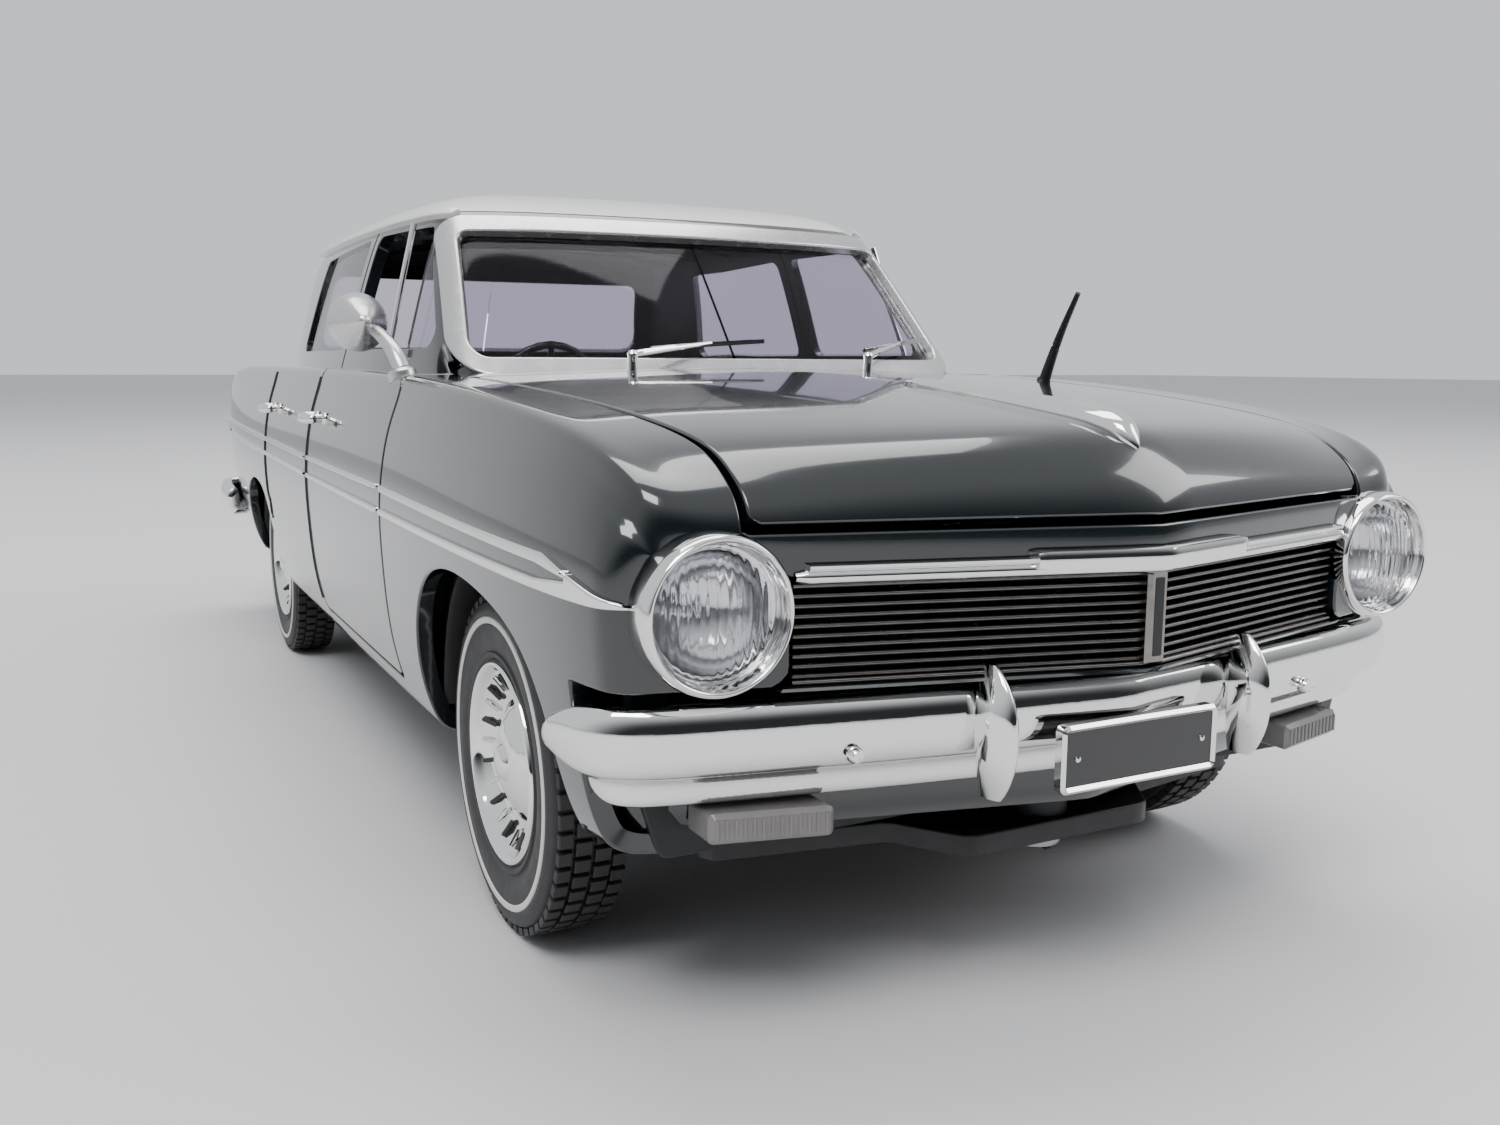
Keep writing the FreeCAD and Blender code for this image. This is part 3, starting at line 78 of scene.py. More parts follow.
def material(name, color, metallic=0.0, roughness=0.4, bump=None, vary=None, rough_vary=0.0, **sockets):
    """A principled material in object coordinates. bump is (scale per metre, strength, distance in metres);
    vary is (scale per metre, second colour); rough_vary is how far the roughness wanders."""
    mat = bpy.data.materials.new(name)
    mat.use_nodes = True
    nodes, links = mat.node_tree.nodes, mat.node_tree.links
    shader = nodes["Principled BSDF"]
    shader.inputs["Base Color"].default_value = (*color, 1)
    shader.inputs["Metallic"].default_value = metallic
    shader.inputs["Roughness"].default_value = roughness
    for key, value in sockets.items():
        shader.inputs[key.replace("_", " ")].default_value = value
    place = nodes.new("ShaderNodeTexCoord").outputs["Object"]

    def noise(scale, detail=3.0):
        node = nodes.new("ShaderNodeTexNoise")
        node.inputs["Scale"].default_value = scale
        node.inputs["Detail"].default_value = detail
        links.new(place, node.inputs["Vector"])
        return node.outputs["Fac"]

    if bump:
        node = nodes.new("ShaderNodeBump")
        node.inputs["Strength"].default_value = bump[1]
        node.inputs["Distance"].default_value = bump[2]
        links.new(noise(bump[0]), node.inputs["Height"])
        links.new(node.outputs["Normal"], shader.inputs["Normal"])
    if vary:
        mix = nodes.new("ShaderNodeMix")
        mix.data_type = "RGBA"
        mix.inputs["A"].default_value = (*color, 1)
        mix.inputs["B"].default_value = (*vary[1], 1)
        links.new(noise(vary[0], 5.0), mix.inputs["Factor"])
        links.new(mix.outputs["Result"], shader.inputs["Base Color"])
    if rough_vary:
        spread = nodes.new("ShaderNodeMapRange")
        spread.inputs["To Min"].default_value = max(roughness - rough_vary, 0.0)
        spread.inputs["To Max"].default_value = roughness + rough_vary
        links.new(noise(900.0, 4.0), spread.inputs["Value"])
        links.new(spread.outputs["Result"], shader.inputs["Roughness"])
    return mat


PAINT = material("body_enamel", (0.0045, 0.0075, 0.0095), 0.0, 0.16, bump=(2600, 0.05, 4e-5),
                 vary=(60, (0.006, 0.010, 0.012)), rough_vary=0.03, Coat_Weight=1.0, Coat_Roughness=0.03)
WHITE = material("roof_enamel", (0.80, 0.80, 0.78), 0.0, 0.22, bump=(2600, 0.05, 4e-5),
                 vary=(80, (0.76, 0.76, 0.74)), rough_vary=0.04, Coat_Weight=0.8, Coat_Roughness=0.04)
SILVER = material("silver_paint", (0.62, 0.62, 0.62), 0.85, 0.26, bump=(6000, 0.12, 3e-5), rough_vary=0.07)
CHROME = material("plated_chrome", (0.86, 0.86, 0.85), 1.0, 0.055, bump=(700, 0.10, 6e-5), rough_vary=0.035)
LINER = material("cast_inside", (0.006, 0.009, 0.011), 0.0, 0.5, bump=(3000, 0.3, 5e-5), rough_vary=0.1)
BLACK = material("black_plastic", (0.012, 0.012, 0.013), 0.0, 0.45, bump=(4000, 0.25, 4e-5), rough_vary=0.1)
GRAPHITE = material("dark_wash", (0.03, 0.03, 0.032), 0.2, 0.5, bump=(3000, 0.2, 4e-5), rough_vary=0.1)
STEEL = material("plain_steel", (0.45, 0.45, 0.45), 1.0, 0.3, bump=(5000, 0.1, 3e-5), rough_vary=0.1)
RUBBER = material("tyre_rubber", (0.016, 0.016, 0.017), 0.0, 0.55, bump=(3500, 0.35, 6e-5),
                  vary=(500, (0.024, 0.024, 0.025)), rough_vary=0.1)
WHITEWALL = material("white_line", (0.72, 0.72, 0.70), 0.0, 0.5, bump=(4000, 0.2, 3e-5),
                     vary=(900, (0.6, 0.6, 0.58)), rough_vary=0.08)
VINYL = material("seat_vinyl", (0.055, 0.045, 0.045), 0.0, 0.42, bump=(2500, 0.35, 8e-5),
                 vary=(300, (0.075, 0.062, 0.062)), rough_vary=0.08)
CABIN = material("cabin_plastic", (0.05, 0.045, 0.046), 0.0, 0.45, bump=(2800, 0.3, 6e-5),
                 vary=(300, (0.065, 0.058, 0.06)), rough_vary=0.08)
ENGINE = material("engine_enamel", (0.16, 0.03, 0.022), 0.0, 0.4, bump=(2500, 0.35, 8e-5),
                  vary=(400, (0.12, 0.022, 0.018)), rough_vary=0.1)
GLASS = material("clear_screen", (0.72, 0.69, 0.79), 0.0, 0.03, bump=(300, 0.015, 4e-5), rough_vary=0.02,
                 Transmission_Weight=1.0, IOR=1.2)
LENS = material("lamp_lens", (0.95, 0.95, 0.97), 0.0, 0.04, bump=(2000, 0.1, 3e-5), rough_vary=0.02,
                Transmission_Weight=1.0, IOR=1.4)
RED = material("red_lens", (0.55, 0.01, 0.008), 0.0, 0.08, bump=(1500, 0.2, 5e-5), rough_vary=0.03,
               Transmission_Weight=0.7, IOR=1.4)

# chrome darkened as a painted dark reflection, used on the grille's lowest rail and centre-post frame
DARK_CHROME = material("chrome_painted_dark_reflection", (0.34, 0.32, 0.30), 1.0, 0.16, bump=(2200, 0.2, 5e-5),
                       vary=(900, (0.16, 0.15, 0.14)), rough_vary=0.08)
BARS = material("grille_bars", (0.20, 0.19, 0.185), 0.95, 0.24, bump=(2500, 0.25, 5e-5),
                vary=(1300, (0.09, 0.085, 0.08)), rough_vary=0.1)
REFLECTOR = material("lamp_reflector", (0.80, 0.80, 0.82), 1.0, 0.14, bump=(1500, 0.25, 6e-5),
                     rough_vary=0.06)
MARKER = material("marker_lens", (0.30, 0.285, 0.28), 0.0, 0.18, bump=(2200, 0.3, 5e-5),
                  vary=(700, (0.22, 0.21, 0.205)), rough_vary=0.06, Transmission_Weight=0.25, IOR=1.4)
PLATE = material("plate_enamel", (0.006, 0.006, 0.007), 0.0, 0.2, bump=(2500, 0.1, 3e-5),
                 vary=(400, (0.010, 0.010, 0.011)), rough_vary=0.05, Coat_Weight=0.5)
PIPING = material("seat_piping", (0.16, 0.14, 0.14), 0.0, 0.35, bump=(3000, 0.2, 4e-5),
                  vary=(500, (0.12, 0.10, 0.10)), rough_vary=0.06)
HELM = material("helm_plastic", (0.022, 0.020, 0.021), 0.0, 0.28, bump=(2600, 0.15, 4e-5),
                vary=(400, (0.030, 0.027, 0.028)), rough_vary=0.06)

FINISH = {
    "body_paint": PAINT, "bright": CHROME, "grille_dark": GRAPHITE, "silver_paint": SILVER,
    "screen_glass": GLASS, "lamp_glass": LENS, "lamp_red": RED, "plate_black": BLACK,
    "black_plastic": BLACK, "trim_plastic": CABIN, "wheel_plastic": BLACK, "steel": STEEL,
    "engine_paint": ENGINE, "tyre_rubber": RUBBER,
}
for part in frame["record"]["subparts"]:
    mesh = NODES[part["node"]].data
    mesh.materials.clear()
    mesh.materials.append(FINISH[part["material_slot"]])

# ---------------------------------------------------------------------------------------------
# Mesh helpers
# ---------------------------------------------------------------------------------------------


def piece(name, verts, faces, body, mats, normals=None, indices=None, replaces=()):
    """A mesh piece in millimetres that rides on a body; normals, one per vertex, set its shading."""
    mesh = bpy.data.meshes.new(name)
    mesh.from_pydata((np.asarray(verts, float) * MM).tolist(), [], [tuple(f) for f in faces])
    for mat in mats if isinstance(mats, (list, tuple)) else [mats]:
        mesh.materials.append(mat)
    if indices is not None:
        mesh.polygons.foreach_set("material_index", np.asarray(indices, np.int32))
    mesh.polygons.foreach_set("use_smooth", np.ones(len(mesh.polygons), bool))
    mesh.update()
    if normals is not None:
        mesh.normals_split_custom_set_from_vertices(np.asarray(normals, float).tolist())
    obj = bpy.data.objects.new(name, mesh)
    bpy.context.scene.collection.objects.link(obj)
    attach(obj, body)
    if replaces:
        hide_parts(*replaces)
    return obj


def unit(v):
    """Vectors scaled to length one."""
    return v / np.maximum(np.linalg.norm(v, axis=-1, keepdims=True), 1e-12)


def spline_basis(count, at):
    """Rows of clamped cubic B-spline weights, and of their slopes, for this many poles."""
    knots = np.concatenate([[0] * 3, np.arange(count - 2), [count - 3] * 3]).astype(float)
    at = np.clip(np.asarray(at, float), 0, count - 3 - 1e-9)
    weights = ((at[:, None] >= knots[None, :-1]) & (at[:, None] < knots[None, 1:])).astype(float)
    lower = None
    for degree in (1, 2, 3):
        lower = weights
        left = knots[degree:-1] - knots[:-degree - 1]
        right = knots[degree + 1:] - knots[1:-degree]
        a = np.where(left > 0, (at[:, None] - knots[None, :-degree - 1]) / np.where(left > 0, left, 1), 0)
        b = np.where(right > 0, (knots[None, degree + 1:] - at[:, None]) / np.where(right > 0, right, 1), 0)
        weights = a * lower[:, :-1] + b * lower[:, 1:]
    span_left = knots[3:-1] - knots[:-4]
    span_right = knots[4:] - knots[1:-3]
    slopes = 3 * (np.where(span_left > 0, lower[:, :-1] / np.where(span_left > 0, span_left, 1), 0)
                  - np.where(span_right > 0, lower[:, 1:] / np.where(span_right > 0, span_right, 1), 0))
    return weights, slopes


def spline_surface(net, steps_u, steps_v):
    """Points and unit normals (along slope_v x slope_u) of a surface, sampled evenly in each span."""
    net = np.asarray(net, float)
    bu, du = spline_basis(net.shape[0], np.linspace(0, net.shape[0] - 3, (net.shape[0] - 3) * steps_u + 1))
    bv, dv = spline_basis(net.shape[1], np.linspace(0, net.shape[1] - 3, (net.shape[1] - 3) * steps_v + 1))
    points = np.einsum("ui,ijk,vj->uvk", bu, net, bv)
    slope_u = np.einsum("ui,ijk,vj->uvk", du, net, bv)
    slope_v = np.einsum("ui,ijk,vj->uvk", bu, net, dv)
    return points, unit(np.cross(slope_v, slope_u))


def spline_line(poles, steps):
    """Points along a clamped cubic."""
    poles = np.asarray(poles, float)
    return spline_basis(len(poles), np.linspace(0, len(poles) - 3, steps))[0] @ poles


def inset_polygon(points, amount):
    """A polygon with each side moved inwards by an amount."""
    p = np.asarray(points, float)
    area = 0.5 * np.sum(p[:, 0] * np.roll(p[:, 1], -1) - np.roll(p[:, 0], -1) * p[:, 1])
    if area < 0:
        p = p[::-1]
    ahead = unit(np.roll(p, -1, 0) - p)
    inward = np.stack([-ahead[:, 1], ahead[:, 0]], 1)
    moved = []
    for i in range(len(p)):
        a, b = inward[i - 1], inward[i]
        moved.append(p[i] + (a + b) * amount / max(1 + float(a @ b), 0.2))
    return np.array(moved)


def outline_distance(a, b, points, radius=0.0):
    """Signed distance in a plane to an outline, negative inside; its corners are rounded by radius."""
    p = inset_polygon(points, radius)
    q = np.roll(p, -1, 0)
    best = np.full(np.shape(a), 1e9)
    inside = np.zeros(np.shape(a), bool)
    for (x1, y1), (x2, y2) in zip(p, q):
        ex, ey = x2 - x1, y2 - y1
        t = np.clip(((a - x1) * ex + (b - y1) * ey) / max(ex * ex + ey * ey, 1e-12), 0, 1)
        best = np.minimum(best, np.hypot(a - x1 - t * ex, b - y1 - t * ey))
        crosses = ((y1 > b) != (y2 > b)) & (a < (x2 - x1) * (b - y1) / (y2 - y1 if y2 != y1 else 1e-12) + x1)
        inside ^= crosses
    return np.where(inside, -best, best) - radius


def cut_sheet(points, normals, keep):
    """Keep the part of a grid where the function keep is positive, with its border on zero.
    Returns vertices, normals and faces."""
    nu, nv = points.shape[:2]
    field = keep(points.reshape(-1, 3)).reshape(nu, nv)
    field = np.where(np.abs(field) < 1e-6, 1e-6, field)
    flat_p, flat_n, flat_f = points.reshape(-1, 3), normals.reshape(-1, 3), field.reshape(-1)
    used = {}
    verts, norms, faces = [], [], []

    def corner(i):
        if i not in used:
            used[i] = len(verts)
            verts.append(flat_p[i])
            norms.append(flat_n[i])
        return used[i]

    def crossing(i, j):
        key = (min(i, j), max(i, j))
        if key not in used:
            t = flat_f[key[0]] / (flat_f[key[0]] - flat_f[key[1]])
            used[key] = len(verts)
            verts.append(flat_p[key[0]] * (1 - t) + flat_p[key[1]] * t)
            norms.append(flat_n[key[0]] * (1 - t) + flat_n[key[1]] * t)
        return used[key]

    index = np.arange(nu * nv).reshape(nu, nv)
    quads = np.stack([index[:-1, :-1], index[1:, :-1], index[1:, 1:], index[:-1, 1:]], -1).reshape(-1, 4)
    signs = flat_f[quads] > 0
    for quad, sign in zip(quads[signs.any(1)].tolist(), signs[signs.any(1)].tolist()):
        if all(sign):
            faces.append([corner(i) for i in quad])
            continue
        ring = []
        for k in range(4):
            i, j = quad[k], quad[(k + 1) % 4]
            if sign[k]:
                ring.append(corner(i))
            if sign[k] != sign[(k + 1) % 4]:
                ring.append(crossing(i, j))
        if len(ring) >= 3:
            faces.append(ring)
    verts, norms = np.array(verts), unit(np.array(norms))
    first = faces[len(faces) // 2]
    a, b, c = verts[first[0]], verts[first[1]], verts[first[2]]
    if np.dot(np.cross(b - a, c - a), norms[first].sum(0)) < 0:    # make the faces agree with the normals
        faces = [face[::-1] for face in faces]
    return verts, norms, faces


def gradient(keep, at, step=0.02):
    """The direction in which the function keep grows, at each point."""
    slopes = [keep(at + shift) - keep(at - shift) for shift in np.eye(3) * step]
    return np.stack(slopes, -1) / (2 * step)


def plate_mesh(points, normals, keep, roll, thickness):
    """A sheet-metal panel: its outside, a border rolled over by this radius, its edge and its inside.
    The last count of faces belongs to the inside and edge."""
    verts, norms, faces = cut_sheet(points, normals, lambda p: keep(p) - roll)
    counts = {}
    for face in faces:
        for a, b in zip(face, face[1:] + face[:1]):
            counts[(a, b)] = counts.get((a, b), 0) + 1
    rim = [(a, b) for a, b in counts if (b, a) not in counts]
    rim_ids = sorted({i for edge in rim for i in edge})
    slot = {i: k for k, i in enumerate(rim_ids)}
    at, normal = verts[rim_ids], norms[rim_ids]
    away = -gradient(keep, at)
    away -= np.sum(away * normal, -1, keepdims=True) * normal
    away = unit(away)
    all_v, all_n, all_f = [verts], [norms], list(faces)
    previous = np.array(rim_ids)
    total = len(verts)
    rings = [(math.sin(t) * roll, (math.cos(t) - 1) * roll, math.sin(t), math.cos(t))
             for t in np.linspace(0, math.pi / 2, 5)[1:]]
    rings.append((roll, -thickness, 1.0, 0.0))
    for out, down, across, up in rings:
        all_v.append(at + away * out + normal * down)
        all_n.append(unit(away * across + normal * up))
        current = np.arange(total, total + len(rim_ids))
        total += len(rim_ids)
        for a, b in rim:
            all_f.append([previous[slot[b]], previous[slot[a]], current[slot[a]], current[slot[b]]])
        previous = current
    outside = len(all_f)
    all_v.append(verts - norms * thickness)
    all_n.append(-norms)
    all_f += [[i + total for i in reversed(face)] for face in faces]
    inner_rim = np.array(rim_ids) + total
    for a, b in rim:
        all_f.append([previous[slot[b]], previous[slot[a]], inner_rim[slot[a]], inner_rim[slot[b]]])
    marks = [0] * outside + [1] * (len(all_f) - outside)
    return np.vstack(all_v), np.vstack(all_n), all_f, marks

# ---------------------------------------------------------------------------------------------
# The two master skins, the same nets of poles as the CAD
# ---------------------------------------------------------------------------------------------

NOSE_Y, NOSE_SLOPE, TAIL_Y = -70.5, 0.24, 69.2
STATIONS = [
    (None, 22.6, 25.2, 24.1, 23.4, 22.6, 10.9, (None, 24.5), (None, 24.2), (None, 24.1)),
    (None, 23.6, 26.9, 25.4, 24.8, 24.0, 9.9, (None, 26.3), (None, 26.2), (None, 26.3)),
    (-62.8, 24.0, 28.1, 25.8, 25.2, 24.3, 9.9, (-63.8, 27.6), (-66.7, 28.1), (-68.7, 28.7)),
    (-60.2, 24.2, 28.9, 26.2, 25.6, 24.5, 9.8, (-61.6, 28.8), (-65.1, 29.3), (-67.3, 29.7)),
    (-55.5, 24.5, 29.8, 26.6, 26.0, 24.7, 9.4, (-57.2, 29.6), (-61.3, 30.0), (-64.0, 30.1)),
    (-48.0, 24.7, 30.6, 26.9, 26.3, 24.9, 9.0, (-48.5, 30.5), (-51.5, 31.0), (-53.0, 31.2)),
    (-38.0, 25.0, 31.3, 27.05, 26.6, 25.1, 8.7, (-38.0, 31.2), (-38.0, 31.7), (-38.0, 32.0)),
    (-24.0, 25.15, 31.8, 27.1, 26.7, 25.2, 8.7, (-24.0, 31.8), (-24.0, 32.2), (-24.0, 32.4)),
    (-4.0, 25.2, 32.0, 27.1, 26.7, 25.2, 8.7, (-4.0, 31.9), (-4.0, 32.2), (-4.0, 32.4)),
    (16.0, 25.2, 32.0, 27.1, 26.7, 25.2, 8.7, (16.0, 31.9), (16.0, 32.2), (16.0, 32.4)),
    (36.0, 25.2, 32.0, 27.05, 26.5, 25.1, 8.9, (36.0, 31.8), (36.0, 32.0), (36.0, 32.2)),
    (50.0, 25.3, 32.0, 26.9, 26.2, 24.9, 9.5, (50.0, 31.4), (50.0, 31.4), (50.0, 31.6)),
    (60.0, 25.4, 31.8, 26.6, 25.8, 24.6, 10.2, (60.0, 30.8), (60.0, 30.6), (60.0, 30.8)),
    (66.0, 25.4, 31.3, 26.3, 25.4, 24.3, 10.8, (66.0, 30.0), (66.0, 29.8), (66.0, 30.0)),
    (TAIL_Y, 25.2, 30.0, 25.9, 25.1, 24.0, 11.0, (TAIL_Y, 28.9), (TAIL_Y, 28.7), (TAIL_Y, 28.8)),
    (TAIL_Y, 24.2, 28.0, 24.6, 24.0, 23.0, 12.0, (TAIL_Y, 27.4), (TAIL_Y, 27.2), (TAIL_Y, 27.2)),
]
LOWER_Z, SIDE_Z = 14.0, 23.6
LEVELS = [
    (31.2, -28.0, 21.5, -25.0, 24.1, 22.15, 40.7, 43.3),
    (32.6, -26.9, 21.2, -23.8, 23.7, 21.9, 40.0, 42.6),
    (38.0, -22.3, 20.2, -18.9, 22.2, 21.1, 37.4, 39.6),
    (42.4, -18.4, 19.2, -14.8, 20.8, 20.1, 34.9, 36.8),
    (44.4, -16.2, 18.3, -12.6, 19.9, 19.2, 33.2, 34.9),
    (45.75, -11.8, 16.6, -9.2, 18.2, 17.4, 30.2, 31.6),
    (46.7, -4.8, 9.4, -3.6, 10.0, 9.7, 24.2, 25.0),
    (46.7, 2.0, 0.0, 3.0, 0.0, 0.0, 18.4, 19.0),
]


def nose(x):
    """The nose plane's Y at a distance x from the middle."""
    return NOSE_Y + NOSE_SLOPE * np.abs(x)


def lower_net():
    """Poles of the lower skin's +X half, nose to tail by foot to middle."""
    net = []
    for y, xs, zs, xm, xl, xb, zb, edge, half, middle in STATIONS:
        row = [(xb - 2.4, zb, y), (xb - 0.5, zb, y), (xb + 0.35, zb + 1.3, y), (xl, LOWER_Z, y),
               (xm - 0.05, 0.5 * (LOWER_Z + SIDE_Z) + 0.6, y), (xm + 0.1, SIDE_Z, y),
               (0.55 * xm + 0.45 * xs + 0.25, 0.5 * (SIDE_Z + zs) + 0.4, y), (xs + 0.42, zs - 1.5, y),
               (xs + 0.15, zs - 0.1, y), (xs - 0.9, zs + 0.05, y), (xs - 3.4, edge[1], edge[0]),
               (12.0, half[1], half[0]), (0.0, middle[1], middle[0])]
        net.append([(x, nose(x) if at is None else at, z) for x, z, at in row])
    return net


def roof_net():
    """Poles of the greenhouse skin's +X half, belt to spine by windscreen to rear window."""
    net = []
    for number, (z, front, xf, yf, xs, xr, yr, rear) in enumerate(LEVELS):
        across = 1.0 if number < len(LEVELS) - 1 else 0.0
        span = yr - yf
        row = [(0.0, front), (0.52 * xf, front + 0.03 * (yf - front)),
               (0.86 * xf, front + 0.45 * (yf - front)),
               (xf, yf - 0.25 * across), (xf + 0.35 * (xs - xf), yf + 0.07 * span),
               (xf + 0.85 * (xs - xf), yf + 0.22 * span), (xs, yf + 0.40 * span), (xs, yf + 0.60 * span),
               (xr + 0.75 * (xs - xr), yf + 0.78 * span), (xr + 0.15 * (xs - xr), yf + 0.95 * span),
               (xr - 0.25 * across, yr + 0.5 * across), (0.84 * xr, rear - 0.35 * (rear - yr)),
               (0.50 * xr, rear - 0.02 * (rear - yr)), (0.0, rear)]
        net.append([(x, y, z) for x, y in row])
    return net


def with_mirror(points, normals, axis):
    """A half grid whose last line along an axis is on the middle plane, joined to its mirror image."""
    flip = np.array([-1.0, 1.0, 1.0])
    middle = [slice(None)] * 3
    middle[axis] = slice(-2, None, -1)
    p, n = points[tuple(middle)] * flip, normals[tuple(middle)] * flip
    return np.concatenate([points, p], axis), np.concatenate([normals, n], axis)


FINE = 11
low_points, low_normals = spline_surface(lower_net(), FINE + 5, FINE + 1)
low_points[:, -1, 0] = 0.0
if low_normals[low_points.shape[0] // 2, -1, 2] < 0:
    low_normals = -low_normals


def end_cap(row, target, normal, steps):
    """Rows that carry the skin's end inwards over a flat end, from the last of them to the skin's own."""
    shares = np.linspace(1, 0, steps + 1)[:-1]
    points = np.array([row * (1 - t) + target * t for t in shares])
    return points, np.broadcast_to(normal, points.shape).copy()


front_row, back_row = low_points[0], low_points[-1]
target = np.stack([front_row[:, 0] * 0.55, np.zeros(len(front_row)), 20.5 + (front_row[:, 2] - 20.5) * 0.25],
                  -1)
front_p, front_n = end_cap(front_row, target, unit(np.array([-NOSE_SLOPE * -1.0, -1.0, 0.0])), 14)
front_p[..., 1] = nose(front_p[..., 0])
target = np.stack([back_row[:, 0] * 0.0, np.full(len(back_row), TAIL_Y),
                   19.0 + (back_row[:, 2] - 19.0) * 0.1], -1)
back_p, back_n = end_cap(back_row, target, np.array([0.0, 1.0, 0.0]), 26)
low_points = np.concatenate([front_p, low_points, back_p[::-1]], 0)
low_normals = np.concatenate([front_n, low_normals, back_n[::-1]], 0)
low_normals[:, -1, 0] = 0.0
low_points, low_normals = with_mirror(low_points, unit(low_normals), 1)

# the greenhouse grid: rows by level, columns round the car; its last level lies on the middle plane
def roof_grid(columns):
    points, normals = spline_surface(roof_net(), FINE + 3, columns)
    if normals[points.shape[0] // 2, points.shape[1] // 2, 0] < 0:
        normals = -normals
    normals[:, 0, 0] = 0.0
    normals[:, -1, 0] = 0.0
    normals[-1, :] = (0.0, 0.0, 1.0)
    return with_mirror(points, unit(normals), 0)


roof_points, roof_normals = roof_grid(FINE + 3)

# ---------------------------------------------------------------------------------------------
# Outlines, as in the CAD
# ---------------------------------------------------------------------------------------------

GAP = 0.30
DOOR_FRONT_Y, DOOR_REAR_Y, DOOR_FOOT_Z = -27.0, 1.7, 11.2
DOOR = [(DOOR_FRONT_Y, DOOR_FOOT_Z), (DOOR_FRONT_Y, 31.2), (-23.1, 32.9), (-13.5, 43.7),
        (DOOR_REAR_Y, 44.0), (DOOR_REAR_Y, DOOR_FOOT_Z)]
DOOR_WINDOW = [(-20.9, 33.5), (-12.8, 42.8), (0.5, 43.0), (0.5, 33.5)]
REAR_WINDOW = [(3.5, 33.5), (3.5, 43.0), (23.6, 42.4), (26.9, 33.5)]
WINDSCREEN = [(-20.1, 32.9), (20.1, 32.9), (18.4, 42.4), (-18.4, 42.4)]
BACKLIGHT = [(-19.3, 34.2), (19.3, 34.2), (17.8, 42.2), (-17.8, 42.2)]
BONNET_REAR_Y, BONNET_FRONT_Z = -30.6, 25.65
BONNET = [(-19.2, -76.0), (19.2, -76.0), (19.5, -62.0), (21.5, BONNET_REAR_Y), (-21.5, BONNET_REAR_Y),
          (-19.5, -62.0)]
BOOT_FRONT_Y, BOOT_FOOT_Z = 45.8, 19.6
BOOT = [(-19.6, BOOT_FRONT_Y), (19.6, BOOT_FRONT_Y), (19.6, 76.0), (-19.6, 76.0)]
FRONT_ARCH = [(-33.4, 5.0), (-33.4, 12.0), (-35.2, 18.2), (-41.0, 21.4), (-50.0, 20.9), (-57.5, 18.6),
              (-58.6, 12.0), (-58.6, 5.0)]
REAR_ARCH = [(27.3, 5.0), (27.3, 11.5), (28.6, 17.4), (34.5, 19.9), (43.5, 19.6), (49.6, 17.0),
             (50.6, 11.5), (50.6, 5.0)]
TAIL_LAMP = [(20.9, 21.2), (23.5, 21.2), (23.6, 26.8), (21.0, 26.8)]
WING_SPEAR = [(-65.6, 22.2), (-58.7, 22.2), (-27.5, 22.5), (-27.5, 24.5), (-58.7, 24.0)]
WING_SPEAR_GAP = [(-61.2, 23.05), (-58.0, 22.75), (-26.0, 22.95), (-26.0, 24.05), (-58.0, 23.45)]
DOOR_SPEAR = [(-26.7, 22.5), (1.4, 22.7), (1.4, 24.6), (-26.7, 24.5)]
DOOR_SPEAR_GAP = [(-27.0, 22.9), (1.0, 23.1), (1.0, 24.2), (-27.0, 24.1)]
QUARTER_SPEAR = [(2.2, 22.7), (67.8, 23.4), (67.8, 25.3), (2.2, 24.6)]
QUARTER_SPEAR_GAP = [(2.6, 23.15), (67.0, 23.85), (67.0, 24.85), (2.6, 24.15)]
DRIP_Z = 43.95
arch_outlines = [spline_line(arch, 60) for arch in (FRONT_ARCH, REAR_ARCH)]
cabin_outline = roof_points[0]
cabin_outline = np.concatenate([cabin_outline[::3, :2], roof_points[-1][::-3, :2]])


def split(p):
    return p[:, 0], p[:, 1], p[:, 2]


def beyond(*fields):
    """The space outside a hole that is bounded by all of these distances."""
    return np.maximum.reduce(fields)


def front_door(p):
    """Distance from the front doorway; the cowl under the windscreen is left out of it."""
    x, y, z = split(p)
    cowl = beyond(np.abs(x) - 21.15, np.abs(y + 25.0) - 5.15, np.abs(z - 29.7) - 2.85)
    return np.maximum(outline_distance(y, z, DOOR, 0.7), -cowl)


def lower_holes(p):
    """Distance from every opening in the lower skin, but for the doors, bonnet and boot lid."""
    x, y, z = split(p)
    side = np.abs(x)
    holes = [beyond(outline_distance(y, z, arch), 15.0 - side) for arch in arch_outlines]
    holes.append(beyond(outline_distance(x, y, cabin_outline, 1.2), 29.5 - z))
    holes.append(beyond(side - 17.6, np.abs(z - 20.85) - 2.45, y + 62.0))
    holes.append(beyond(z - 18.4, y - nose(x) - 3.5, y + 55.0))
    holes.append(beyond(np.hypot(side - 21.1, z - 21.9) - 3.2, y + 60.0))
    holes.append(beyond(outline_distance(side, z, TAIL_LAMP, 0.9), 67.0 - y))
    return np.minimum.reduce(holes)


def bonnet_space(p):
    x, y, z = split(p)
    return beyond(outline_distance(x, y, BONNET, 0.5), BONNET_FRONT_Z - z, y + 25.0)


def boot_space(p):
    x, y, z = split(p)
    return beyond(outline_distance(x, y, BOOT, 0.6), BOOT_FOOT_Z - z, 40.0 - y)


def keep_casting(p):
    x, y, z = split(p)
    doors = beyond(front_door(p), 15.0 - np.abs(x)) - GAP
    bonnet = beyond(outline_distance(x, y, BONNET, 0.5) - GAP, BONNET_FRONT_Z - 0.4 - z, y + 25.0)
    boot = beyond(outline_distance(x, y, BOOT, 0.6) - GAP, BOOT_FOOT_Z - GAP - z, 40.0 - y)
    return np.minimum.reduce([doors, bonnet, boot, lower_holes(p)])


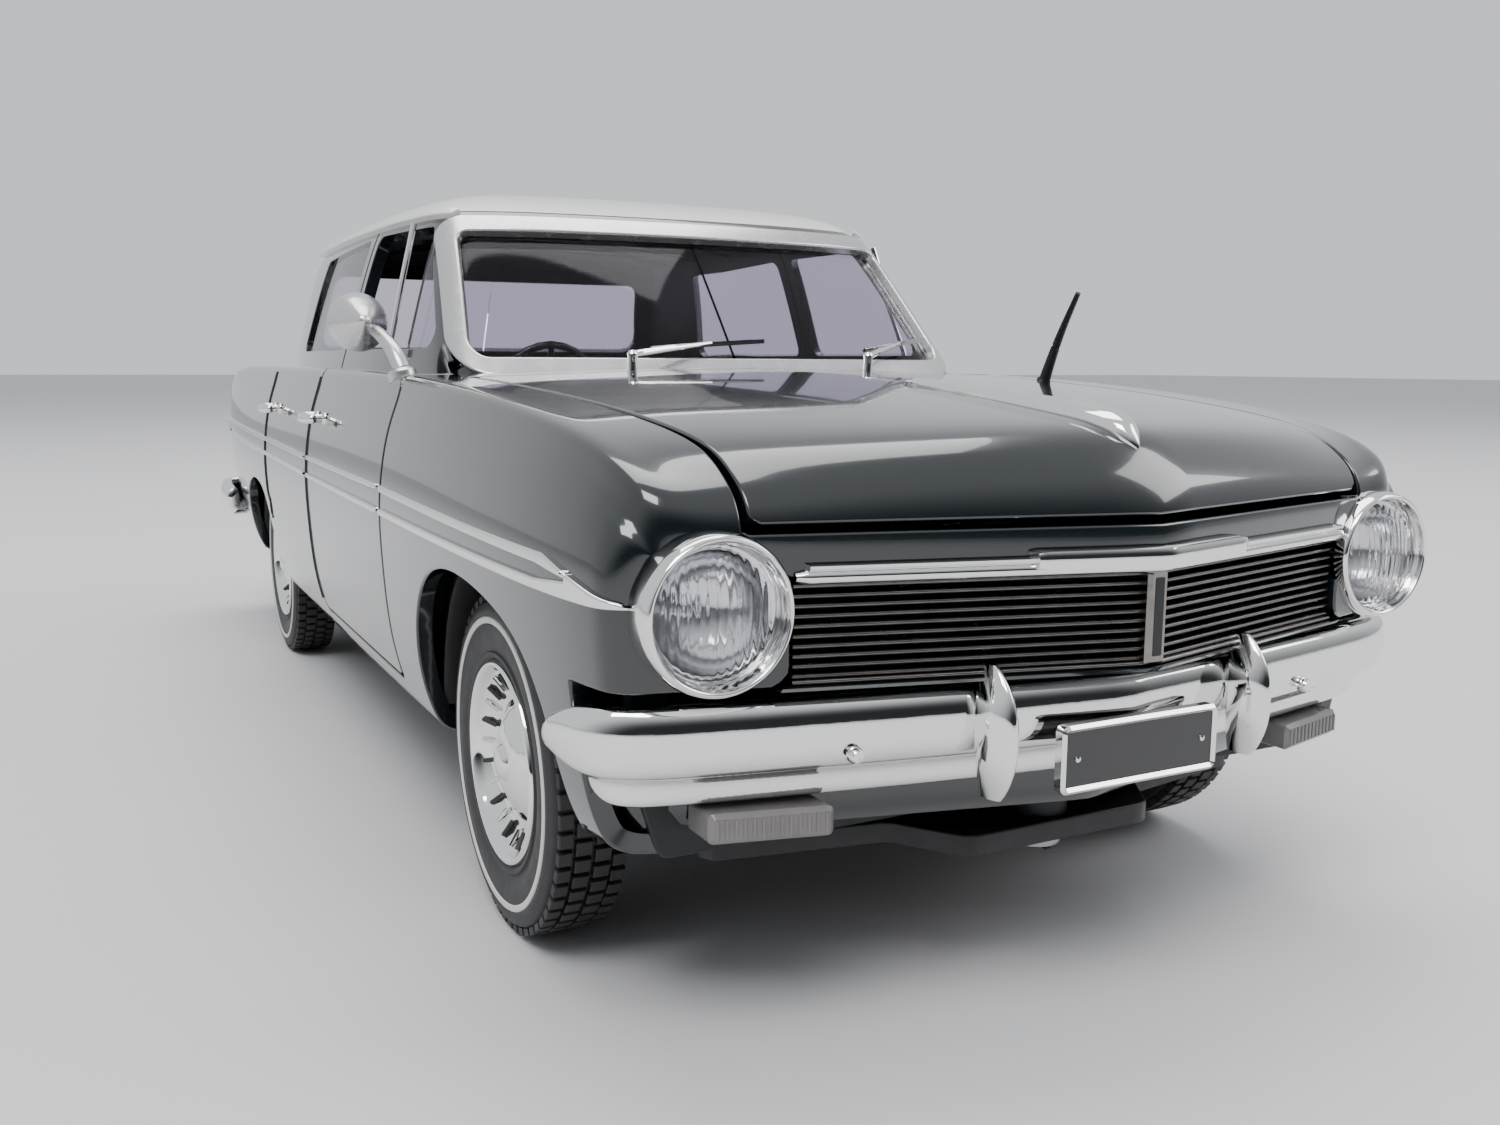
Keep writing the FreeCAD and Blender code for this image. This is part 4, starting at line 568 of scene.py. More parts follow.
def keep_door(side):
    """The part of either skin that belongs to the door on this side."""
    def keep(p):
        return np.minimum(-front_door(p), p[:, 0] * side - 15.0)
    return keep


def windows(p):
    """Distance from every window in the greenhouse."""
    x, y, z = split(p)
    side = 15.0 - np.abs(x)
    return np.minimum.reduce([
        beyond(outline_distance(x, z, WINDSCREEN, 1.2), y + 6.0),
        beyond(outline_distance(x, z, BACKLIGHT, 1.6), 26.0 - y),
        beyond(outline_distance(y, z, DOOR_WINDOW, 0.9), side),
        beyond(outline_distance(y, z, REAR_WINDOW, 0.9), side)])


def keep_roof(p):
    doors = beyond(front_door(p), 15.0 - np.abs(p[:, 0])) - GAP
    return np.minimum(doors, windows(p))


ROLL = 0.16
SKIN = 1.0


def panel(name, grid, keep, body, replaces=(), paint=PAINT, roll=ROLL):
    """A painted sheet panel cut from a skin."""
    verts, norms, faces, marks = plate_mesh(grid[0], grid[1], keep, roll, SKIN)
    return piece(name, verts, faces, body, [paint, LINER], norms, marks, replaces)


LOW, ROOF = (low_points, low_normals), (roof_points, roof_normals)
POSTS = roof_grid(4 * (FINE + 1))    # close enough together for the narrow window posts
panel("shell_lower", LOW, keep_casting, "shell", ["body_casting"])
panel("bonnet_skin", LOW, lambda p: -bonnet_space(p), "bonnet", ["bonnet_panel"])
panel("boot_skin", LOW, lambda p: np.minimum(-boot_space(p), lower_holes(p)), "boot_lid", ["boot_lid_panel"])
panel("roof_skin", ROOF, lambda p: np.minimum(keep_roof(p), p[:, 2] - DRIP_Z), "shell", paint=WHITE,
      roll=0.05)
panel("pillars", POSTS, lambda p: np.minimum(keep_roof(p), DRIP_Z - p[:, 2]), "shell", roll=0.1)
for side, label in ((-1, "right"), (1, "left")):
    panel(f"door_{label}_skin", LOW,
          lambda p, keep=keep_door(side): np.minimum(keep(p), lower_holes(p)), f"door_{label}",
          [f"door_{label}_shell"])
    panel(f"door_{label}_frame", POSTS,
          lambda p, keep=keep_door(side): np.minimum(keep(p), windows(p)), f"door_{label}", roll=0.1)

# ---------------------------------------------------------------------------------------------
# Small solids: closed loops, tubes, lathes and boxes
# ---------------------------------------------------------------------------------------------


class Build:
    """Faces and vertices of one piece, gathered part by part; each part has its own shading normals."""

    def __init__(self):
        self.verts, self.faces, self.marks = [], [], []

    def add(self, verts, faces, mark=0):
        start = len(self.verts)
        self.verts += [tuple(float(c) for c in v) for v in verts]
        self.faces += [[i + start for i in face] for face in faces]
        self.marks += [mark] * len(faces)
        return self

    def mirror(self):
        """Add the mirror image across the middle plane."""
        start = len(self.verts)
        self.verts += [(-x, y, z) for x, y, z in self.verts]
        self.faces += [[i + start for i in reversed(face)] for face in self.faces]
        self.marks += self.marks
        return self

    def make(self, name, body, slot, mats, replaces=(), sharp=35.0):
        """The mesh, smooth but for edges sharper than this angle."""
        mesh_mats = mats if isinstance(mats, (list, tuple)) else [mats]
        obj = piece(name, self.verts, self.faces, body, mesh_mats, indices=self.marks,
                    replaces=replaces)
        mesh = obj.data
        work = bmesh.new()
        work.from_mesh(mesh)
        bmesh.ops.recalc_face_normals(work, faces=work.faces)
        work.to_mesh(mesh)
        work.free()
        mesh.set_sharp_from_angle(angle=math.radians(sharp))
        return obj


def grid_faces(rows, columns, closed_columns=False, closed_rows=False):
    """Quads over a grid of points numbered row by row."""
    faces = []
    for i in range(rows if closed_rows else rows - 1):
        for j in range(columns if closed_columns else columns - 1):
            a, b = i * columns + j, i * columns + (j + 1) % columns
            c, d = ((i + 1) % rows) * columns + (j + 1) % columns, ((i + 1) % rows) * columns + j
            faces.append([a, b, c, d])
    return faces


def frame_along(path):
    """Tangents, sideways and upward vectors along a path, with the up kept near +Z."""
    path = np.asarray(path, float)
    ahead = unit(np.gradient(path, axis=0))
    guide = np.broadcast_to([0.0, 0.0, 1.0], ahead.shape).copy()
    guide[np.abs(ahead[:, 2]) > 0.9] = (1.0, 0.0, 0.0)
    across = unit(np.cross(ahead, guide))
    return ahead, across, np.cross(across, ahead)


def sweep(path, section, caps=True):
    """A closed section of (across, up) carried along a path. Scales may vary with a third array."""
    path = np.asarray(path, float)
    ahead, across, up = frame_along(path)
    section = np.asarray(section, float)
    if section.ndim == 2:
        section = np.broadcast_to(section, (len(path),) + section.shape)
    verts = path[:, None] + across[:, None] * section[..., :1] + up[:, None] * section[..., 1:]
    count = section.shape[1]
    faces = grid_faces(len(path), count, True)
    if caps:
        faces.append(list(range(count)))
        faces.append([len(path) * count - count + k for k in reversed(range(count))])
    return verts.reshape(-1, 3), faces


def ring_of(radius, count=12, squash=1.0):
    """A round section."""
    t = np.linspace(0, 2 * math.pi, count, endpoint=False)
    return np.stack([np.cos(t) * radius, -np.sin(t) * radius * squash], 1)


def tube(path, radius, count=12, taper=None):
    """A round rod along a path; taper is one radius per point, with closed ends."""
    radii = np.asarray(taper if taper is not None else [radius] * len(path), float)
    section = ring_of(1.0, count)[None] * radii[:, None, None]
    return sweep(path, section)


def lathe(profile, at, axis=(1, 0, 0), count=64, closed=False):
    """A profile of (along, radius) turned about an axis through a point."""
    axis = unit(np.asarray(axis, float))
    guide = np.array([0.0, 0.0, 1.0]) if abs(axis[2]) < 0.9 else np.array([0.0, 1.0, 0.0])
    e1 = unit(np.cross(axis, guide))
    e2 = np.cross(axis, e1)
    t = np.linspace(0, 2 * math.pi, count, endpoint=False)
    around = np.cos(t)[:, None] * e1 + np.sin(t)[:, None] * e2
    profile = np.asarray(profile, float)
    verts = np.asarray(at, float) + profile[:, None, :1] * axis + profile[:, None, 1:] * around[None]
    return verts.reshape(-1, 3), grid_faces(len(profile), count, True, closed)


def smooth_profile(points, radius, steps=4):
    """A polyline with its corners rounded; the ends stay."""
    p = np.asarray(points, float)
    out = [p[0]]
    for a, b, c in zip(p[:-2], p[1:-1], p[2:]):
        la, lc = np.linalg.norm(a - b), np.linalg.norm(c - b)
        r = min(radius, 0.45 * la, 0.45 * lc)
        start, end = b + (a - b) * r / max(la, 1e-9), b + (c - b) * r / max(lc, 1e-9)
        for t in np.linspace(0, 1, steps):
            out.append((1 - t) ** 2 * start + 2 * t * (1 - t) * b + t ** 2 * end)
    out.append(p[-1])
    return np.array(out)


def loop_rounded(points, radius, steps=5):
    """A closed polygon with rounded corners."""
    p = np.asarray(points, float)
    out = []
    for k in range(len(p)):
        a, b, c = p[k - 1], p[k], p[(k + 1) % len(p)]
        la, lc = np.linalg.norm(a - b), np.linalg.norm(c - b)
        r = min(radius, 0.48 * la, 0.48 * lc)
        start, end = b + (a - b) * r / la, b + (c - b) * r / lc
        for t in np.linspace(0, 1, steps):
            out.append((1 - t) ** 2 * start + 2 * t * (1 - t) * b + t ** 2 * end)
    return np.array(out)


def slab(outline, axis, low, high, bevel=0.08, corner=0.0):
    """A flat slab: an outline on the plane across an axis, from low to high, with bevelled rims."""
    flat = loop_rounded(outline, corner) if corner else np.asarray(outline, float)
    area = 0.5 * np.sum(flat[:, 0] * np.roll(flat[:, 1], -1) - np.roll(flat[:, 0], -1) * flat[:, 1])
    if area < 0:
        flat = flat[::-1]
    bevel = min(bevel, 0.45 * abs(high - low))
    inner = inset_polygon(flat, bevel)
    layers = [(inner, low), (flat, low + bevel), (flat, high - bevel), (inner, high)]
    order = {"X": lambda a, b, h: (h, a, b), "Y": lambda a, b, h: (a, h, b), "Z": lambda a, b,
             h: (a, b, h)}[axis]
    verts = [order(a, b, h) for ring, h in layers for a, b in ring]
    n = len(flat)
    faces = grid_faces(4, n, True) + [list(reversed(range(n))), [3 * n + k for k in range(n)]]
    if axis == "Y":
        faces = [list(reversed(face)) for face in faces]
    return verts, faces


def box(low, high, bevel=0.1):
    """A bevelled block."""
    (x0, y0, z0), (x1, y1, z1) = low, high
    return slab([(x0, y0), (x1, y0), (x1, y1), (x0, y1)], "Z", z0, z1, bevel, bevel)


# ---------------------------------------------------------------------------------------------
# Nose: bumper, grille, lamps, plate
# ---------------------------------------------------------------------------------------------


def nose_bar(section, half, count=61, soft=0.3, ends=0.0):
    """A bar across the pointed nose: a closed section of (depth behind the nose plane, z)."""
    xs = np.linspace(-half, half, count)
    back = NOSE_Y + NOSE_SLOPE * (np.sqrt(xs ** 2 + soft ** 2) - soft)
    section = np.asarray(section, float)
    middle = section.mean(0)
    shrink = 1 - ends * np.clip((np.abs(xs) - half + 0.5) / 0.5, 0, 1) ** 2
    verts = [(x, y + middle[0] + (d - middle[0]) * s, middle[1] + (z - middle[1]) * s)
             for x, y, s in zip(xs, back, shrink) for d, z in section]
    count_s = len(section)
    faces = grid_faces(count, count_s, True)
    faces += [list(reversed(range(count_s))), [len(xs) * count_s - count_s + k for k in range(count_s)]]
    return verts, faces


def half_round(front, back, low, high, steps=7):
    """A section with a round front: (depth, z) points."""
    t = np.linspace(-math.pi / 2, math.pi / 2, steps)
    middle, tall = 0.5 * (low + high), 0.5 * (high - low)
    bulge = tall * 1.1
    return [(back, high), (back, low)] + [(front + bulge - math.cos(v) * bulge,
                                           middle + math.sin(v) * tall) for v in t]


grille = Build()
grille.add(*nose_bar([(1.9, 18.4), (2.3, 18.4), (2.3, 23.2), (1.9, 23.2)], 17.4), mark=1)
for number in range(10):
    foot = 18.64 + number * 0.455
    grille.add(*nose_bar(half_round(0.45, 1.95, foot, foot + 0.2), 17.3), mark=0)
# the lowest rail carries the chrome with the painted dark reflection (mark 2)
grille.add(*nose_bar(half_round(0.25, 1.95, 18.38, 18.62), 17.4), mark=2)
post = [(-0.62, 18.45), (0.62, 18.45), (0.62, 23.1), (-0.62, 23.1)]
# the post's frame carries the same chrome with the painted dark reflection (mark 2)
post_frame = slab(post, "Y", -70.46, -68.4, 0.18, 0.25)
grille.add(*post_frame, mark=2)
grille.add(*slab([(-0.3, 18.9), (0.3, 18.9), (0.3, 22.7), (-0.3, 22.7)], "Y", -70.5, -70.2, 0.04, 0.1),
           mark=1)
grille.make("grille_bars", "shell", "grille_dark", [BARS, BLACK, DARK_CHROME], ["grille"])

moulding = Build()
moulding.add(*nose_bar(half_round(-0.42, 1.2, 22.98, 23.66, 9), 17.5, ends=0.4))
moulding.add(*nose_bar([(-0.36, 23.62), (-0.44, 23.72), (-0.44, 23.84), (-0.3, 23.9), (0.2, 23.9),
                        (0.2, 23.6)], 17.0))
name_bar = [(0.3, 24.24), (0.3, 23.3), (-0.5, 23.3), (-0.68, 23.36), (-0.74, 23.5), (-0.74, 24.0),
            (-0.66, 24.18),
            (-0.5, 24.24)]
moulding.add(*nose_bar(name_bar, 6.6, ends=0.25))
moulding.make("grille_moulding", "shell", "bright", CHROME, ["grille_top_moulding"])

chin = Build()
chin.add(*nose_bar([(3.5, 18.5), (3.5, 12.0), (3.65, 11.2), (4.2, 10.6), (4.9, 10.5), (4.9, 18.5)], 23.4,
                   ends=0.5))
chin.add(*nose_bar([(-0.1, 18.36), (0.1, 18.16), (0.5, 18.1), (3.6, 18.1), (3.6, 18.4)], 18.0))
chin.make("chin_panel", "shell", "body_paint", PAINT)

LAMP = (21.1, -64.0, 21.9)
FORWARD = (0, -1, 0)


def lamp_profile(points, radius=0.18, steps=4):
    """Turned headlamp profile given as (towards the front, radius)."""
    return smooth_profile(points, radius, steps)


bezel = Build()
bezel.add(*lathe(lamp_profile([(-0.9, 2.72), (-0.9, 3.05), (-0.3, 3.15), (-0.2, 3.45), (1.3, 3.6),
                               (2.2, 3.62),
                               (2.65, 3.52), (2.8, 3.38), (2.74, 3.26), (2.5, 3.2), (2.3, 3.1), (2.2, 3.06),
                               (1.5, 3.04),
                               (1.5, 2.7), (-0.9, 2.72)]), LAMP, FORWARD, 96))
bezel.mirror().make("lamp_bezels", "shell", "bright", CHROME, ["headlamp_bezels"])


def lens_points(radius, rings, spokes, height, flutes):
    """A domed lens with upright flutes: rows from the rim to the middle."""
    rows = []
    t = np.linspace(0, 2 * math.pi, spokes, endpoint=False)
    for r in np.linspace(radius, 0.02, rings):
        x, z = np.cos(t) * r, np.sin(t) * r
        dome = height * np.cos(0.5 * math.pi * r / radius / 1.15) - height * math.cos(0.5 * math.pi / 1.15)
        ridge = flutes * np.cos(x * 2 * math.pi / 0.42 + 0.5 * np.sin(z * 1.4)) * (r < radius * 0.93)
        rows.append(np.stack([x, -(dome + ridge), z], 1))
    return np.array(rows)


lens = Build()
rows = lens_points(3.07, 30, 144, 0.75, 0.035)
front = rows + np.array([LAMP[0], LAMP[1] - 2.15, LAMP[2]])
back = rows * np.array([1, 0.55, 1]) + np.array([LAMP[0], LAMP[1] - 1.75, LAMP[2]])
shell_rows = np.concatenate([front[::-1], back], 0)
lens.add(shell_rows.reshape(-1, 3), grid_faces(len(shell_rows), 144, True))
lens.mirror().make("lamp_lenses", "shell", "lamp_glass", LENS, ["headlamp_lenses"], sharp=60)

dish = Build()
dish.add(*lathe([(1.25, 2.66), (0.9, 2.6), (0.3, 2.35), (-0.3, 1.85), (-0.75, 1.1), (-0.9, 0.62),
                 (-0.9, 0.3), (-0.9, 0.02)],
                LAMP, FORWARD, 72), mark=0)
dish.add(*lathe([(-0.8, 0.02), (-0.75, 0.4), (-0.1, 0.5), (0.35, 0.36), (0.5, 0.02)], LAMP, FORWARD, 32),
         mark=1)
dish.mirror().make("lamp_dishes", "shell", "bright", [REFLECTOR, LENS], ["headlamp_reflectors"])

# bumper: one section carried round the nose, waisted along its middle
BUMPER_LINE = [(0.0, -68.8), (5.0, -68.3), (12.0, -67.1), (19.0, -65.7), (23.4, -64.8), (25.9, -63.4),
               (26.5, -61.4), (26.5, -59.6)]
FRONT_SECTION = [(1.3, 15.7), (1.3, 17.0), (1.1, 17.7), (0.0, 17.8), (-0.35, 16.8), (-0.4, 15.7),
                 (-0.05, 14.5), (0.75, 14.2), (1.25, 13.9), (1.3, 12.8), (1.9, 12.6), (2.2, 13.0),
                 (1.9, 14.3), (1.3, 14.9), (1.3, 15.7)]
REAR_LINE = [(0.0, 70.3), (7.0, 70.3), (14.0, 70.3), (21.0, 70.3), (26.4, 70.2), (27.6, 68.6), (27.4, 66.0),
             (27.2, 62.4)]
REAR_SECTION = [(1.2, 14.6), (1.2, 16.4), (0.9, 17.2), (0.1, 17.3), (-0.35, 16.2), (-0.4, 14.8),
                (-0.2, 13.4), (0.3, 12.4), (0.9, 12.2), (1.2, 13.0), (1.2, 14.6)]


def bumper(line, section, sign):
    """A bumper skin from the same net as the CAD's, as closed grid rows from end to end."""
    net = []
    for number, (x, y) in enumerate(line):
        before, after = line[max(number - 1, 0)], line[min(number + 1, len(line) - 1)]
        along = unit(np.array([after[0] - before[0], after[1] - before[1]]))
        if number == 0:
            along = np.array([1.0, 0.0])
        inward = np.array([along[1], -along[0]]) * sign
        narrow = {len(line) - 1: 0.55, len(line) - 2: 0.9}.get(number, 1.0)
        net.append([(x - inward[0] * depth, y - inward[1] * depth, 15.4 + (z - 15.4) * narrow) for depth,
                    z in section])
    points, _ = spline_surface(net, FINE + 2, FINE - 2)
    return points


def add_bumper(build, points):
    """A bumper's half, its rounded end and its mirror image."""
    whole = np.concatenate([points[::-1], points[1:] * np.array([-1.0, 1.0, 1.0])], 0)[:, :-1]
    centre_a, centre_b = whole[0].mean(0), whole[-1].mean(0)
    caps = []
    for centre, row, outward in ((centre_a, whole[0], whole[0] - whole[1]),
                                 (centre_b, whole[-1], whole[-1] - whole[-2])):
        push = unit(outward.mean(0)) * 0.35
        caps.append([centre + (row - centre) * math.cos(t) + push * math.sin(t) for t in np.linspace(1.45,
                0.3, 4)])
    whole = np.concatenate([caps[0], whole, caps[1][::-1]], 0)
    count = whole.shape[1]
    faces = grid_faces(len(whole), count, True)
    faces += [list(reversed(range(count))), [len(whole) * count - count + k for k in range(count)]]
    build.add(whole.reshape(-1, 3), faces)


front = Build()
add_bumper(front, bumper(BUMPER_LINE, FRONT_SECTION, 1))
for x in (-14.6, 14.6):
    bolt = (x, -66.9, 15.1)
    front.add(*lathe([(0.0, 0.42), (0.25, 0.4), (0.42, 0.28), (0.48, 0.02)], bolt, (0.0, -1.0, -0.1), 24))
front.make("bumper_front", "shell", "bright", CHROME, ["front_bumper"])
rear = Build()
add_bumper(rear, bumper(REAR_LINE, REAR_SECTION, -1))
for x in (-17.5, 17.5):
    rear.add(*lathe([(0.0, 0.42), (0.25, 0.4), (0.42, 0.28), (0.48, 0.02)], (x, 70.65, 15.3),
                    (0.0, 1.0, 0.0), 24))
rear.make("bumper_rear", "shell", "bright", CHROME, ["rear_bumper"])


def overrider(x, y, low, high, sign):
    """A bullet-shaped overrider with a ridge down its front; sign is the outward Y."""
    rows = []
    ts = np.linspace(0, 1, 22)
    for t in ts:
        z = low + (high - low) * t
        girth = math.sin(math.pi * min(max(0.06 + 0.94 * t, 0), 1)) ** 0.55 if t < 0.5 else \
            (1 - ((t - 0.5) / 0.5) ** 2.6 * 0.8)
        lean = 0.5 * t * t
        around = np.linspace(0, 2 * math.pi, 28, endpoint=False)
        wide, deep = 0.85 * girth, 1.75 * girth
        c, s = np.cos(around), np.sin(around)
        nosey = np.where(s > 0, deep * np.abs(s) ** 0.85, -0.8 * np.abs(s))
        rows.append(np.stack([x + wide * c * (1 - 0.35 * np.clip(s, 0, 1)), y + sign * (nosey - 0.4 * lean),
                              np.full(28, z)], 1))
    rows = np.array(rows)
    faces = grid_faces(len(rows), 28, True)
    faces += [list(reversed(range(28))), [len(rows) * 28 - 28 + k for k in range(28)]]
    return rows.reshape(-1, 3), faces


guards = Build()
for x in (-8.1, 8.1):
    guards.add(*overrider(x, -68.6, 12.6, 18.9, -1))
for x in (-11.0, 11.0):
    guards.add(*overrider(x, 70.05, 12.0, 17.7, 1))
guards.make("bumper_guards", "shell", "bright", CHROME, ["overriders"], sharp=50)


def frame_ring(half, high, y, z, sign, width=0.34, deep=0.55):
    """A rounded rectangular frame with a half-round section, in front of a bumper."""
    corner = loop_rounded([(-half, z - high), (half, z - high), (half, z + high), (-half, z + high)], 0.45,
                          6)
    inner = inset_polygon(corner, width)
    middle = inset_polygon(corner, width * 0.5)
    rows = [(corner, 0.0), (corner, deep * 0.75), (middle, deep), (inner, deep * 0.75), (inner, 0.0)]
    verts = [(a, y + sign * lift, b) for ring, lift in rows for a, b in ring]
    return verts, grid_faces(5, len(corner), True, True)


plates = Build()
cards = Build()
for y, z, high, sign in ((-69.35, 14.2, 1.68, -1), (70.45, 15.0, 1.5, 1)):
    plates.add(*frame_ring(5.0, high, y, z, sign, 0.34, 0.62))
    near, far = sorted((y + sign * 0.1, y + sign * 0.42))
    cards.add(*slab([(-4.7, z - high + 0.3), (4.7, z - high + 0.3), (4.7, z + high - 0.3),
                     (-4.7, z + high - 0.3)],
                    "Y", near, far, 0.05, 0.2), mark=0)
    for x in (-4.0, 4.0):
        cards.add(*lathe([(0, 0.16), (0.08, 0.15), (0.12, 0.02)], (x, y + sign * 0.42, z), (0, sign, 0), 16),
                  mark=1)
plates.make("plate_surrounds", "shell", "bright", CHROME, ["plate_frames"])
cards.make("plate_panels", "shell", "plate_black", [PLATE, CHROME], ["number_plates"])

marker = Build()
outline = [(14.9, 10.95), (20.7, 10.95), (20.7, 12.4), (14.9, 12.4)]
verts, faces = slab(outline, "Y", 0.0, 2.5, 0.22, 0.3)
verts = [(x, nose(x) + 1.0 + y, z) for x, y, z in verts]
marker.add(verts, faces)
for x in np.arange(15.3, 20.5, 0.42):
    marker.add(*sweep([(x, nose(x) + 1.0, 11.2), (x, nose(x) + 1.0, 12.15)], ring_of(0.1, 8)))
marker.mirror().make("nose_markers", "shell", "lamp_glass", MARKER, ["indicator_lenses"])

# ---------------------------------------------------------------------------------------------
# Trims that follow a skin: a strip is the skin raised a little inside an outline
# ---------------------------------------------------------------------------------------------


def strip(name, grid, keep, body, mat, lift, replaces=(), roll=0.12, sink=0.35):
    """A rounded strip of bright metal lying on a skin where the function keep is positive."""
    verts, norms, faces, marks = plate_mesh(grid[0] + grid[1] * lift, grid[1], keep, roll, lift + sink)
    return piece(name, verts, faces, body, mat, norms, None, replaces)


def on_side(outline, inner, sign):
    """The space of a side moulding less its painted gap, on one side of the car."""
    def keep(p):
        body = -outline_distance(p[:, 1], p[:, 2], outline, 0.05)
        gap = outline_distance(p[:, 1], p[:, 2], inner, 0.05)
        return np.minimum.reduce([body, gap, p[:, 0] * sign - 15.0])
    return keep


def near_side(grid, low, high):
    """The rows of a skin between two stations."""
    rows = np.where((grid[0][:, :, 1].max(1) > low) & (grid[0][:, :, 1].min(1) < high))[0]
    return grid[0][rows[0]:rows[-1] + 1], grid[1][rows[0]:rows[-1] + 1]


def denser(grid, along, across):
    """A grid resampled by straight lines, this many times finer in each direction."""
    points, normals = grid
    for axis, factor in ((0, along), (1, across)):
        count = points.shape[axis]
        at = np.linspace(0, count - 1, (count - 1) * factor + 1)
        low = np.minimum(at.astype(int), count - 2)
        share = (at - low).reshape([-1, 1, 1] if axis == 0 else [1, -1, 1])
        points = np.take(points, low, axis) * (1 - share) + np.take(points, low + 1, axis) * share
        normals = np.take(normals, low, axis) * (1 - share) + np.take(normals, low + 1, axis) * share
    return points, unit(normals)


def band(grid, low, high):
    """The columns of a grid between two heights on the +X and -X sides."""
    halves = []
    for sign in (1, -1):
        z = grid[0][..., 2]
        x = grid[0][..., 0] * sign
        columns = np.where(((z > low) & (z < high) & (x > 15)).any(0))[0]
        halves.append((grid[0][:, columns[0]:columns[-1] + 1], grid[1][:, columns[0]:columns[-1] + 1]))
    return halves


SIDE_BANDS = band(LOW, 20.5, 27.0)
for sign, label, skin in ((1, "left", SIDE_BANDS[0]), (-1, "right", SIDE_BANDS[1])):
    fine = denser(skin, 2, 4)
    strip(f"wing_spear_{label}", near_side(fine, -66.5, -26.0), on_side(WING_SPEAR, WING_SPEAR_GAP, sign),
          "shell", CHROME, 0.28, ["side_mouldings"])
    strip(f"quarter_spear_{label}", near_side(fine, 1.0, 69.1), on_side(QUARTER_SPEAR, QUARTER_SPEAR_GAP, sign),
          "shell", CHROME, 0.28)
    strip(f"door_spear_{label}", near_side(fine, -28.0, 3.0), on_side(DOOR_SPEAR, DOOR_SPEAR_GAP, sign),
          f"door_{label}", CHROME, 0.28, [f"door_{label}_moulding"])


def ring_space(outline, corner, width, front):
    """The band of this width round a window seen from the front or back."""
    def keep(p):
        d = outline_distance(p[:, 0], p[:, 2], outline, corner)
        side = -6.0 - p[:, 1] if front else p[:, 1] - 26.0
        return np.minimum.reduce([width - d, d + 0.1, side])
    return keep


roof_fine = denser(ROOF, 2, 2)
strip("screen_surround", roof_fine, lambda p: np.minimum(ring_space(WINDSCREEN, 1.2, 1.3, True)(p),
                                                         p[:, 2] - 31.3),
      "shell", SILVER, 0.32, ["windscreen_frame"], roll=0.2)
strip("rear_surround", roof_fine, lambda p: np.minimum(ring_space(BACKLIGHT, 1.6, 0.8, False)(p),
                                                       p[:, 2] - 31.3),
      "shell", CHROME, 0.3, ["rear_window_frame"], roll=0.16)


def drip(p):
    """The gutter along the edge of the roof, over the doors."""
    return np.minimum.reduce([0.28 - np.abs(p[:, 2] - DRIP_Z), p[:, 1] + 14.5, 33.5 - p[:, 1]])


strip("drip_rails", roof_fine, drip, "shell", WHITE, 0.55, roll=0.12)

# glass: thin panes just inside the greenhouse's skin
PANE = 0.45


def pane(name, keep, body, replaces, grid=ROOF):
    verts, norms, faces, marks = plate_mesh(grid[0] - grid[1] * 0.35, grid[1], keep, 0.04, PANE)
    return piece(name, verts, faces, body, GLASS, norms, None, replaces)


def window_space(outline, corner, plane):
    """Inside of one window, a little larger than its opening."""
    def keep(p):
        x, y, z = split(p)
        if plane == "front":
            return np.minimum(0.25 - outline_distance(x, z, outline, corner), -6.0 - y)
        if plane == "back":
            return np.minimum(0.25 - outline_distance(x, z, outline, corner), y - 26.0)
        return np.minimum(0.25 - outline_distance(y, z, outline, corner), x * plane - 15.0)
    return keep


pane("screen_pane", window_space(WINDSCREEN, 1.2, "front"), "shell", ["windscreen_glass"])
pane("rear_pane", window_space(BACKLIGHT, 1.6, "back"), "shell", ["rear_glass"])
for side, label in ((-1, "right"), (1, "left")):
    pane(f"rear_door_pane_{label}", window_space(REAR_WINDOW, 0.9, side), "shell", [])
QUARTER_LIGHT = [(-20.9, 33.3), (-12.8, 43.0), (-12.6, 43.0), (-14.6, 33.3)]
pane("door_pane_left", window_space(DOOR_WINDOW, 0.9, 1), "door_left", ["door_left_glass"])
pane("door_pane_right", lambda p: np.minimum(window_space(DOOR_WINDOW, 0.9, -1)(p),
                                             -outline_distance(p[:, 1], p[:, 2], QUARTER_LIGHT)),
     "door_right", ["door_right_glass"])
for side, label in ((-1, "right"), (1, "left")):
    bar = Build()
    foot_x, top_x = 23.35, 20.7
    bar.add(*sweep([(side * foot_x, -14.6, 33.3), (side * (foot_x + top_x) / 2, -13.6, 38.2),
                    (side * top_x, -12.75, 42.9)], ring_of(0.22, 10)))
    bar.make(f"quarter_bar_{label}", f"door_{label}", "bright", CHROME)

# bonnet ornament and boot strip
ridge_rows = low_points[:, low_points.shape[1] // 2]
ridge_rows = ridge_rows[(ridge_rows[:, 1] > -70.0) & (ridge_rows[:, 1] < -40.0) & (ridge_rows[:, 2] > 27.5)]
ridge_rows = ridge_rows[np.argsort(ridge_rows[:, 1])]


def bonnet_z(y):
    """The height of the bonnet along the middle of the car."""
    return np.interp(y, ridge_rows[:, 1], ridge_rows[:, 2])


